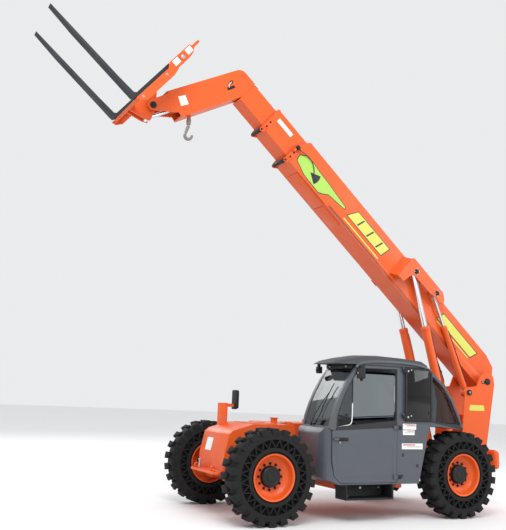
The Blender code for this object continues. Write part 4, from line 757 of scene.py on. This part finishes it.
def cab_fittings():
    # lamps: big near one outboard of the pillar, far one under the roof corner, two small inner ones
    boxes = [slab((0.195, 1.232, 2.060), (0.335, 1.277, 2.215), 0.016, 3),
             slab((0.205, 1.2325, 2.205), (0.290, 1.268, 2.262), 0.006),
             bar((0.250, 1.228, 2.045), (0.250, 1.262, 2.045), 0.020, 20, rounding=0.003),
             slab((0.47, 0.425, 2.130), (0.545, 0.505, 2.235), 0.012, 3),
             slab((0.49, 0.44, 2.228), (0.53, 0.48, 2.2695), 0.004)]
    piece("lamp_bodies", boxes, "black_plastic")
    faces, lenses = [], []
    for x, y, z, radius in ((0.3355, 1.2545, 2.140, 0.019), (0.5455, 0.465, 2.183, 0.032)):
        faces.append(stud(x - 0.004, x + 0.002, y, z, radius, 28))
        lenses.append(stud(x + 0.002, x + 0.007, y, z, radius, 28, 0.001))
    for y in (0.60, 1.04):
        faces.append(stud(0.384, 0.390, y, 2.240, 0.022))
        lenses.append(stud(0.390, 0.396, y, 2.240, 0.022, 24, 0.001))
    piece("lamp_bowls", faces, "lamp_silver")
    piece("lamp_lenses", lenses, "lamp_glass")
    # wiper: motor cap, arm and blade on the screen's curve
    base = Vector((0.772, 0.72, 1.372))
    tip = Vector((0.640, 0.98, 1.84))
    wiper = [bar(base, base + Vector((0.022, 0, 0.004)), 0.022, 24, rounding=0.002),
             hose([base + Vector((0.018, 0, 0)), (0.757, 0.77, 1.50), (0.722, 0.86, 1.66), tip], 0.006),
             hose([(0.755, 0.90, 1.475), (0.712, 0.925, 1.64), (0.638, 0.960, 1.82), (0.560, 0.985, 1.975)],
                  0.007)]
    piece("screen_wiper", wiper, "satin_black")
    # door handle and lock, on the door
    grip = [slab((0.47, 1.2345, 1.168), (0.665, 1.262, 1.190), 0.007, 3),
            slab((0.455, 1.230, 1.155), (0.680, 1.239, 1.203), 0.004)]
    piece("door_handle", grip, "satin_black", "door")
    piece("door_lock", bar((0.60, 1.238, 1.135), (0.60, 1.2395, 1.135), 0.012, 20), "zinc_steel", "door")
    pins = [bar((-0.425, 1.2426, z - 0.0345), (-0.425, 1.2426, z + 0.0345), 0.0108, 24, rounding=0.001)
            for z in (0.64, 1.36)]
    pins += [slab((-0.420, 1.2315, z - 0.029), (-0.352, 1.2480, z + 0.029), 0.003) for z in (0.64, 1.36)]
    piece("door_hinge_leaves", pins, "satin_black", "door")
    knuckles = [slab((-0.500, 1.2305, z - 0.028), (-0.440, 1.2385, z + 0.028), 0.003) for z in (0.64, 1.36)]
    piece("post_hinge_leaves", knuckles, "satin_black")
    # pressed line round the door's panel
    press = ring_of([(-0.34, 0.645), (0.545, 0.645), (0.625, 0.73), (0.655, 0.90), (0.662, 1.10),
                     (-0.34, 1.10)], 0.006, 1.2318, 1.2335)
    piece("door_pressing", press, "cab_slate", "door", smooth=30)
    # blank plates with plain bars, and vents, on the rear lower panel
    for name, colour, inner, outer, rounding, rows in (
        ("side_plates", "plate_white", 1.2300, 1.2310, 0.001,
         ((-0.775, 1.335, -0.525, 1.420), (-0.745, 1.255, -0.525, 1.325), (-0.900, 1.045, -0.508, 1.130))),
        ("side_plate_lines", "plate_line", 1.2308, 1.2313, 0.0002,
         ((-0.765, 1.385, -0.60, 1.397), (-0.735, 1.284, -0.56, 1.292), (-0.880, 1.075, -0.60, 1.085))),
        ("side_plate_bars", "plate_red", 1.2308, 1.2313, 0.0002,
         ((-0.765, 1.402, -0.55, 1.412), (-0.735, 1.306, -0.60, 1.316), (-0.760, 1.100, -0.53, 1.118))),
    ):
        piece(name, [slab((x, inner, z), (far, outer, top), rounding, 1) for x, z, far, top in rows], colour)
    vents = [slab((x, 1.2296, z), (x + 0.05, 1.2312, z + 0.05), 0.004, 1)
             for x, z in ((-0.555, 0.935), (-0.825, 0.775), (-0.538, 0.628))]
    piece("side_vents", vents, "graphic_black")
    # grab handle by the door and mat on the floor
    grab = hose([(-0.475, 1.200, 1.62), (-0.44, 1.150, 1.64), (-0.43, 1.140, 1.85), (-0.44, 1.150, 2.06),
                 (-0.475, 1.200, 2.08)], 0.012)
    piece("grab_handle", grab, "plate_white")
    mat = slab((-0.70, 0.50, 0.5706), (0.32, 1.16, 0.578), 0.003)
    piece("floor_mat", mat, "seal_rubber")
    ribs = [slab((x, 0.53, 0.577), (x + 0.012, 1.13, 0.581), 0.001, 1)
            for x in [-0.10 + 0.035 * n for n in range(11)]]
    piece("mat_ribs", ribs, "seal_rubber")


def cab_interior():
    refined("dash_and_wheel", "black_plastic", 0.004, smooth=40)
    refined("seat_base", "black_plastic", 0.008)
    middle = (CAB_SIDE + CAB_FAR) / 2
    centre = Vector((0.20, middle, 1.40))
    turn = Vector((0, 0, 1)).rotation_difference(Vector((-0.55, 0.0, 0.83))).to_matrix().to_4x4()
    hub = turned(bar((0, 0, -0.018), (0, 0, 0.016), 0.052, 32, rounding=0.006),
                 Matrix.Translation(centre) @ turn)
    piece("wheel_boss", hub, "black_plastic")
    grip = turned(together([bar((0.150, 0.10, 0.005), (0.150, 0.10, 0.030), 0.010, 16),
                            ball((0.150, 0.10, 0.040), 0.022, (1, 1, 1))]), Matrix.Translation(centre) @ turn)
    piece("wheel_spinner", grip, "black_plastic")
    panel = slab((0.545, middle - 0.24, 1.240), (0.600, middle + 0.08, 1.262), 0.006)
    dials = [stud(0.5445, 0.5395, middle - 0.16 + 0.12 * n, 1.22, 0.03) for n in range(2)]
    piece("dash_hood", panel, "black_plastic")
    piece("dash_dials", dials, "lamp_silver")
    arm = [slab((-0.60, middle - 0.34, 1.120), (-0.20, middle - 0.265, 1.165), 0.018, 3),
           slab((-0.62, middle - 0.33, 0.86), (-0.54, middle - 0.275, 1.125), 0.010)]
    piece("right_armrest", arm, "black_plastic")
    stick = [bar((-0.24, middle - 0.30, 1.160), (-0.23, middle - 0.30, 1.185), 0.030, 24, 0.020),
             bar((-0.23, middle - 0.30, 1.180), (-0.215, middle - 0.30, 1.270), 0.009, 16),
             ball((-0.212, middle - 0.30, 1.290), 0.026, (0.9, 0.8, 1.25))]
    piece("boom_joystick", stick, "black_plastic")
    pedals = []
    for y in (middle - 0.14, middle + 0.10):
        pad = turned(slab((-0.045, -0.04, -0.006), (0.045, 0.04, 0.006), 0.004),
                     Matrix.Translation((0.30, y, 0.655)) @ Matrix.Rotation(math.radians(-48), 4, "Y"))
        pedals += [pad, bar((0.36, y, 0.60), (0.315, y, 0.65), 0.008, 12)]
    piece("foot_pedals", pedals, "satin_black")
    belt = slab((-0.70, middle + 0.238, 1.02), (-0.66, middle + 0.262, 1.10), 0.006)
    piece("belt_reel", belt, "black_plastic")


SEAM_HALF = 0.011
CLOTH_FRAMES = 16


def padded_seat(name, shape, seams, cap):
    """Cushion swollen by cloth pressure inside its solid's space, with its sewn channels pressed in after."""
    made = piece(name, shape, "seat_cloth", place=Matrix.Identity(4), smooth=0,
                 stands_for=(name.replace("_padding", ""),))
    remesh = made.modifiers.new("even_cloth", "REMESH")
    remesh.mode = "VOXEL"
    remesh.voxel_size = 0.0065
    bake(made)
    start = [vert.co.copy() for vert in made.data.vertices]
    cloth = made.modifiers.new("stuffing", "CLOTH")
    cloth.settings.use_pressure = True
    cloth.settings.uniform_pressure_force = 4.0
    cloth.settings.effector_weights.gravity = 0.0
    cloth.settings.tension_stiffness = 12
    cloth.settings.compression_stiffness = 12
    cloth.settings.bending_stiffness = 0.6
    for number in range(1, CLOTH_FRAMES + 1):
        bpy.context.scene.frame_set(number)
    bake(made)
    bpy.context.scene.frame_set(1)
    for vert, home in zip(made.data.vertices, start):
        moved = vert.co - home
        if moved.length > cap:
            vert.co = home + moved.normalized() * cap
    for vert in made.data.vertices:
        for low, high, depth, axis, along in seams:
            share = abs(vert.co[axis] - along) / SEAM_HALF
            if share < 1 and all(low[i] <= vert.co[i] <= high[i] for i in range(3)):
                vert.co -= vert.normal * depth * (1 - share * share) ** 2
    smooth = made.modifiers.new("smooth_cover", "SUBSURF")
    smooth.levels = 1
    smooth.render_levels = 1
    made.data.shade_smooth()
    return made


def bake(made):
    """The piece's modifiers worked into its mesh."""
    bpy.context.view_layer.update()
    graph = bpy.context.evaluated_depsgraph_get()
    mesh = bpy.data.meshes.new_from_object(made.evaluated_get(graph))
    made.modifiers.clear()
    made.data = mesh


SEAT_INSET = 0.018


def seat():
    low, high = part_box("seat_cushion")
    shape = slab((low.x + SEAT_INSET, low.y + SEAT_INSET, low.z + 0.001),
                 (high.x - SEAT_INSET, high.y - SEAT_INSET, high.z - SEAT_INSET), 0.03, 4)
    first = (low.x + 0.05, low.y, high.z - 0.05)
    last = (high.x - 0.05, high.y, high.z + 0.05)
    seams = [(first, last, 0.009, 1, low.y + share * (high.y - low.y)) for share in (0.22, 0.5, 0.78)]
    padded_seat("seat_cushion_padding", shape, seams, 0.017)
    low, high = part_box("seat_back")
    outline = [(-0.672, 0.965), (-0.795, 1.60), (-0.885, 1.57), (-0.765, 0.955)]
    shape = sheet([(x + SHIFT, z) for x, z in outline], low.y + SEAT_INSET, high.y - SEAT_INSET, 0.02)
    first = (low.x, low.y + 0.05, low.z + 0.08)
    last = (high.x + 0.05, high.y - 0.05, high.z - 0.06)
    seams = [(first, last, 0.008, 1, low.y + share * (high.y - low.y)) for share in (0.25, 0.5, 0.75)]
    padded_seat("seat_back_padding", shape, seams, 0.016)


# ---------------------------------------------------------------- boom
SIDE = 0.2203
MID_SIDE = 0.18
NECK_SIDE = 0.15
TRACK_MARKS = 46
LIFT_EAR = (2.39, 0.306)
LEVELLING_EAR = (1.834, 0.347)


def both_sides(outline, face, thick):
    """A flat mark on both side faces, standing a little proud."""
    return [sheet(outline, face, face + thick), sheet(outline, -face - thick, -face)]


def boom_metal():
    for node, rounding in (("outer_boom", 0.006), ("mid_boom", 0.005), ("fly_boom", 0.004),
                           ("gooseneck", 0.006), ("fork_carriage", 0.004)):
        refined(node, "orange_enamel", rounding)
    refined("lift_hook", "hook_steel", 0.003, smooth=45)
    for flank in ("left", "right"):
        for label in ("lift", "levelling"):
            refined(f"{flank}_{label}_cylinder_barrel", "orange_enamel", 0.003, smooth=40)
            refined(f"{flank}_{label}_cylinder_rod", "chrome_rod", 0.002, smooth=40)
    refined("tilt_cylinder_barrel", "orange_enamel", 0.003, smooth=40)
    refined("tilt_cylinder_rod", "chrome_rod", 0.002, smooth=40)
    for flank in ("left", "right"):
        refined(f"{flank}_fork", "fork_steel", 0.006)


def boom_graphics():
    wedge = [(5.20, 0.02), (5.22, 0.12), (5.13, 0.20), (4.98, 0.22), (4.80, 0.20), (4.52, 0.19),
             (4.28, 0.165), (4.06, 0.150), (4.04, 0.115), (4.22, 0.085), (4.42, 0.055), (4.50, -0.02),
             (4.58, -0.07), (4.95, -0.06)]
    border = [(5.216, 0.012), (5.237, 0.126), (5.140, 0.214), (4.98, 0.234), (4.80, 0.214), (4.52, 0.204),
              (4.28, 0.179), (4.05, 0.163), (4.022, 0.108), (4.21, 0.071), (4.41, 0.042), (4.487, -0.03),
              (4.572, -0.085), (4.952, -0.074)]
    piece("side_graphic_edge", both_sides(border, SIDE, 0.0006), "graphic_black", "boom_outer", BOOM)
    piece("side_graphic", both_sides(wedge, SIDE, 0.0012), "leaf_green", "boom_outer", BOOM)
    band = [(3.93, 0.08), (3.82, 0.285), (2.97, 0.285), (3.02, 0.08)]
    rim = [(3.955, 0.066), (3.828, 0.299), (2.948, 0.299), (3.006, 0.066)]
    line = [(3.96, -0.025), (3.95, 0.0), (3.02, 0.0), (3.02, -0.025)]
    piece("side_band_edge", both_sides(rim, SIDE, 0.0006), "graphic_black", "boom_outer", BOOM)
    yellow = both_sides(band, SIDE, 0.0012) + both_sides(line, SIDE, 0.0008)
    piece("side_band", yellow, "band_yellow", "boom_outer", BOOM)
    slots = []
    for number in range(3):
        start = 3.70 - number * 0.25
        slots += both_sides([(start, 0.10), (start - 0.05, 0.265), (start - 0.08, 0.265),
                             (start - 0.03, 0.10)], SIDE + 0.0012, 0.0004)
    piece("side_band_slots", slots, "graphic_black", "boom_outer", BOOM)
    tail_rim = [(1.475, 0.125), (1.405, 0.315), (0.39, 0.315), (0.47, 0.125)]
    tail_band = [(1.450, 0.140), (1.392, 0.300), (0.415, 0.300), (0.483, 0.140)]
    tail_line = [(1.43, 0.085), (1.42, 0.105), (0.50, 0.105), (0.51, 0.085)]
    piece("tail_band_edge", both_sides(tail_rim, SIDE, 0.0006), "graphic_black", "boom_outer", BOOM)
    piece("tail_band", both_sides(tail_band, SIDE, 0.0012) + both_sides(tail_line, SIDE, 0.0008),
          "band_yellow", "boom_outer", BOOM)
    plate = both_sides([(5.02, 0.225), (5.02, 0.300), (5.36, 0.300), (5.36, 0.225)], MID_SIDE, 0.0012)
    piece("section_plate", plate, "plate_white", "boom_mid", MID)
    seam = []
    for number in range(TRACK_MARKS):
        start = 2.95 + number * 0.030
        end = start + 0.017
        seam += both_sides([(start, -0.082), (start, -0.074), (end, -0.074), (end, -0.082)], SIDE, 0.0006)
    for low in (-0.100, -0.076):
        seam += both_sides([(0.70, low), (0.70, low + 0.011), (4.28, low + 0.011), (4.28, low)], SIDE, 0.0006)
    piece("hose_track_marks", seam, "graphic_black", "boom_outer", BOOM)


def front_end(name, body, place, front, half, low):
    """Roller under a section's front end, its cheeks, side collars and bolts."""
    x, z = front - 0.035, low - 0.035
    rollers = [peg(x, z, -half + 0.035, half - 0.035, 0.033, 28, 0.004)]
    rollers += [peg(x, z, share * half - 0.006, share * half + 0.006, 0.036, 28)
                for share in (-0.55, 0.0, 0.55)]
    piece(name + "_roller", rollers, "black_plastic", body, place)
    outline = [(front - 0.12, low + 0.012), (front - 0.004, low + 0.012), (front - 0.004, low - 0.040),
               (front - 0.03, low - 0.068), (front - 0.062, low - 0.060), (front - 0.12, low - 0.006)]
    cheek = half - 0.016
    cheeks = [sheet(outline, side * cheek - 0.008, side * cheek + 0.008, 0.002) for side in SIDES]
    cheeks += [plank((front - 0.10, front - 0.012), side * (half + 0.0045), 0.0045,
                     (low + 0.03, low + 0.20), 0.003) for side in SIDES]
    piece(name + "_cheeks", cheeks, "orange_enamel", body, place)
    heads = []
    for side in SIDES:
        for up in (0.065, 0.165):
            heads += bolt((front - 0.056, side * (half + 0.009), low + up), (0, side, 0), 0.012, 0.010)
        heads += bolt((x, side * (half - 0.008), z), (0, side, 0), 0.013, 0.009)
    piece(name + "_bolts", heads, "satin_black", body, place)


def ear_plates():
    """Keeper plates on the ears, over both pins of each side."""
    plates, heads = [], []
    for side in SIDES:
        for s, r in (LIFT_EAR, LEVELLING_EAR):
            plates += [plank((s - 0.042, s + 0.042), side * 0.4035, 0.0035, (r - 0.042, r + 0.042), 0.003),
                       peg(s, r, side * 0.399, side * 0.4125, 0.030, 28, 0.003)]
            for turn in range(4):
                angle = math.pi / 4 + turn * math.pi / 2
                place = (s + 0.046 * math.cos(angle), side * 0.4065, r + 0.046 * math.sin(angle))
                heads += bolt(place, (0, side, 0), 0.0065, 0.006)
    piece("ear_pin_plates", plates, "satin_black", "boom_outer", BOOM)
    piece("ear_pin_bolts", heads, "zinc_steel", "boom_outer", BOOM)


def boom_fittings():
    front_end("outer_front", "boom_outer", BOOM, 5.38, 0.220, -0.110)
    front_end("mid_front", "boom_mid", MID, 5.48, 0.180, -0.055)
    tabs = [plank((5.19, 5.21), side * 0.15, 0.03, (0.436, 0.475), 0.003) for side in SIDES]
    tabs += [plank((5.165, 5.235), side * 0.15, 0.03, (0.436, 0.442), 0.002) for side in SIDES]
    piece("outer_top_tabs", tabs, "orange_enamel", "boom_outer", BOOM)
    tabs = [plank((5.43, 5.455), side * 0.12, 0.025, (0.399, 0.437), 0.003) for side in SIDES]
    piece("mid_top_tabs", tabs, "orange_enamel", "boom_mid", MID)
    piece("neck_top_tab", slab((5.425, 0.055, 0.3595), (5.495, 0.115, 0.388), 0.004), "satin_black",
          "boom_fly", FLY)
    # angle sensor block on its bracket, with its cable to a quadrant on the side
    bracket = [slab((5.335, SIDE, 0.055), (5.375, SIDE + 0.045, 0.125), 0.003),
               slab((5.30, SIDE, 0.130), (5.375, SIDE + 0.006, 0.20), 0.002)]
    piece("sensor_bracket", bracket, "orange_enamel", "boom_outer", BOOM)
    block = [slab((5.305, SIDE + 0.012, 0.130), (5.375, SIDE + 0.070, 0.185), 0.008, 3),
             stud(5.29, 5.31, SIDE + 0.040, 0.158, 0.012, 16)]
    piece("sensor_block", block, "black_plastic", "boom_outer", BOOM)
    cable = hose([(5.30, SIDE + 0.040, 0.158), (5.22, SIDE + 0.040, 0.165), (5.10, SIDE + 0.024, 0.225),
                  (4.95, SIDE + 0.012, 0.200), (4.86, SIDE + 0.008, 0.130), (4.82, SIDE + 0.008, 0.060)],
                 0.007)
    piece("sensor_cable", cable, "hose_rubber", "boom_outer", BOOM)
    turns = [math.radians(turn) for turn in (-30, -18, -6, 6, 18, 30)]
    quadrant = [(4.90, 0.06)]
    quadrant += [(4.90 - 0.20 * math.cos(turn), 0.06 + 0.20 * math.sin(turn)) for turn in turns]
    piece("sensor_quadrant", sheet(quadrant, SIDE + 0.0014, SIDE + 0.005, 0.0008), "fork_steel",
          "boom_outer", BOOM)
    # stiffening plates under the outer section
    pads = [plank((4.35, 5.05), 0, 0.175, (-0.1245, -0.1095)),
            plank((3.90, 4.33), 0, 0.150, (-0.1195, -0.1095))]
    piece("under_plates", pads, "orange_enamel", "boom_outer", BOOM)
    ear_plates()
    cover = plank((-0.1335, -0.128), 0, 0.15, (0.04, 0.23), 0.002)
    piece("tail_cover", cover, "satin_black", "boom_outer", BOOM)


def neck_details():
    marks = both_sides([(1.08, -0.290), (1.07, -0.140), (1.20, -0.130), (1.215, -0.280)], NECK_SIDE, 0.0012)
    piece("neck_plate", marks, "plate_white", "boom_fly", NECK)
    head = BOOM.inverted() @ Vector(JOINTS["carriage_tilt"]["pos_m"])
    fittings, pipes, caps = [], [], []
    for side in SIDES:
        fittings += [peg(0.21, -0.17, side * 0.150, side * 0.170, 0.024, 24, 0.003),
                     peg(0.27, -0.255, side * 0.150, side * 0.166, 0.017, 20, 0.002),
                     plank((0.19, 0.33), side * 0.155, 0.005, (-0.275, -0.232), 0.003)]
        pipes.append(hose([(0.21, side * 0.164, -0.17), (0.25, side * 0.168, -0.185),
                           (0.29, side * 0.166, -0.20), (0.30, side * 0.162, -0.245)], 0.008))
        caps.append(peg(head.x, head.z, side * 0.1495, side * 0.163, 0.052, 32, 0.004))
    piece("neck_unions", fittings, "satin_black", "boom_fly", NECK)
    piece("neck_pipes", pipes, "zinc_steel", "boom_fly", NECK)
    piece("head_pin_caps", caps, "satin_black", "boom_fly", BOOM)


CARRIAGE_HALF = 0.62
SHAFT = 1.03
FORK_SPREAD = 0.49


def fork_details():
    collar = [(0.036, 0.0), (0.036, 0.010), (0.058, 0.010), (0.060, 0.008), (0.060, 0.0)]
    rings, discs, plates, heads = [], [], [], []
    for side in SIDES:
        face = side * (CARRIAGE_HALF + 0.0002) - (0.010 if side < 0 else 0)
        rings.append(turned(lathe(collar, 40), Matrix.Translation((-0.075, face, SHAFT))))
        discs.append(peg(-0.075, SHAFT, side * (CARRIAGE_HALF - 0.004), side * (CARRIAGE_HALF + 0.0065),
                         0.034, 32, 0.002))
        for low, high in ((0.83, 0.95), (1.12, 1.24)):
            outline = [(-0.105, low), (-0.015, low), (-0.015, high), (-0.105, high)]
            plates.append(sheet(outline, side * CARRIAGE_HALF, side * (CARRIAGE_HALF + 0.0012)))
        for u in (0.09, 0.62):
            heads += bolt((-0.105, side * CARRIAGE_HALF, u), (0, side, 0), 0.014, 0.010)
    piece("shaft_rings", rings, "orange_enamel", "carriage", FORKS)
    piece("shaft_discs", discs, "zinc_steel", "carriage", FORKS)
    piece("carriage_plates", plates, "plate_white", "carriage", FORKS)
    piece("carriage_bolts", heads, "zinc_steel", "carriage", FORKS)
    # eyes that hang the forks on the shaft
    for flank, side in (("left", 1), ("right", -1)):
        y = side * FORK_SPREAD
        ring = peg(-0.095, SHAFT, y - 0.0415, y + 0.0415, 0.0515, 36, 0.003)
        piece(flank + "_fork_eye", ring, "fork_steel", "carriage", FORKS)
    screen = []
    for number in range(7):
        y = -0.36 + number * 0.12
        screen.append(bar((-0.108, y, 0.755), (-0.095, y, 1.005), 0.008, 12))
    piece("load_guard_bars", screen, "orange_enamel", "carriage", FORKS)


# label, barrel radius, barrel length, rod radius, distance from the middle
CYLINDERS = (("lift", 0.075, 2.20, 0.045, 0.3025), ("levelling", 0.050, 1.21, 0.028, 0.2775))


def cylinder_details():
    """Gland and outside pipe of each lift and levelling cylinder."""
    for flank, side in (("left", 1), ("right", -1)):
        for label, radius, length, rod_radius, y in CYLINDERS:
            name = f"{flank}_{label}"
            body = name + "_barrel_body"
            place = pitched(JOINTS[name + "_swing"]["pos_m"], JOINTS[name + "_slide"]["axis"])
            place = Matrix.Translation((0, side * y - place.translation.y, 0)) @ place
            bore, outer = rod_radius + 0.002, radius + 0.004
            profile = [(bore, length + 0.001), (bore, length + 0.020), (radius - 0.006, length + 0.020),
                       (radius - 0.002, length + 0.012), (outer, length), (outer, length - 0.050),
                       (radius + 0.0005, length - 0.056), (radius - 0.004, length - 0.050),
                       (radius - 0.004, length + 0.001)]
            gland = turned(lathe(profile, 40), Matrix.Rotation(-math.pi / 2, 4, "Z"))
            piece(name + "_gland", gland, "orange_enamel", body, place)
            path = [(0.16, -0.004), (0.17, 0.020), (0.24, 0.024), (length * 0.5, 0.022),
                    (length - 0.14, 0.024), (length - 0.08, 0.020), (length - 0.07, -0.004)]
            pipe = hose([(along, 0, radius + off) for along, off in path], 0.009)
            straps = [plank((s - 0.012, s + 0.012), 0, 0.02, (radius - 0.006, radius + 0.034))
                      for s in (length * 0.3, length * 0.65)]
            piece(name + "_pipe", [pipe] + straps, "satin_black", body, place)


# ---------------------------------------------------------------- light and camera
def place_camera():
    eye = Vector((6.859146746 + SHIFT, 10.782171696, 1.777609573))
    yaw, pitch, roll = (math.radians(value) for value in (153.560421, 9.490945, 2.294476))
    ahead = Vector((-math.sin(yaw) * math.cos(pitch), math.cos(yaw) * math.cos(pitch), math.sin(pitch)))
    right = Vector((math.cos(yaw), math.sin(yaw), 0))
    up = right.cross(ahead)
    across = right * math.cos(roll) + up * math.sin(roll)
    rise = up * math.cos(roll) - right * math.sin(roll)
    camera = bpy.data.cameras.new("view_camera")
    camera.sensor_width = 36.0
    camera.lens = 52.26
    camera.clip_end = 200.0
    holder = bpy.data.objects.new("view_camera", camera)
    bpy.context.scene.collection.objects.link(holder)
    holder.matrix_world = Matrix.Translation(eye) @ Matrix((across, rise, -ahead)).transposed().to_4x4()
    bpy.context.scene.camera = holder


def studio():
    bm = bmesh.new()
    bmesh.ops.create_circle(bm, cap_ends=True, segments=96, radius=60.0)
    mesh = bpy.data.meshes.new("studio_floor")
    bm.to_mesh(mesh)
    bm.free()
    floor = bpy.data.objects.new("studio_floor", mesh)
    bpy.context.scene.collection.objects.link(floor)
    finish("floor_white", (0.86, 0.86, 0.86), (0.84, 0.84, 0.84), rough=(0.85, 0.9), patch=0.2, bump=0.0)
    mesh.materials.append(FINISHES["floor_white"])
    world = bpy.data.worlds.new("studio_sky")
    world.use_nodes = True
    back = world.node_tree.nodes["Background"]
    back.inputs["Color"].default_value = (0.97, 0.98, 1.0, 1)
    back.inputs["Strength"].default_value = 0.85
    bpy.context.scene.world = world
    for name, spot, aim, size, energy in (
        ("key_panel", (7.0, 13.0, 15.0), (-0.8, 0.0, 2.5), 9.0, 2300.0),
        ("fill_panel", (-12.0, 10.0, 8.0), (-1.0, 0.0, 2.0), 8.0, 650.0),
        ("far_panel", (2.0, -14.0, 11.0), (-1.0, 0.0, 3.0), 8.0, 700.0),
    ):
        lamp = bpy.data.lights.new(name, "AREA")
        lamp.size = size
        lamp.energy = energy
        holder = bpy.data.objects.new(name, lamp)
        bpy.context.scene.collection.objects.link(holder)
        turn = (Vector(aim) - Vector(spot)).to_track_quat("-Z", "Y").to_matrix().to_4x4()
        holder.matrix_world = Matrix.Translation(spot) @ turn
    bpy.context.scene.view_settings.view_transform = "Standard"


# ---------------------------------------------------------------- the machine
place_camera()
studio()
make_finishes()
wheels()
chassis_metal()
nose_details()
tower_details()
engine_details()
step_details()
cab_metal()
cab_glazing()
cab_fittings()
cab_interior()
seat()
boom_metal()
boom_graphics()
boom_fittings()
neck_details()
fork_details()
cylinder_details()
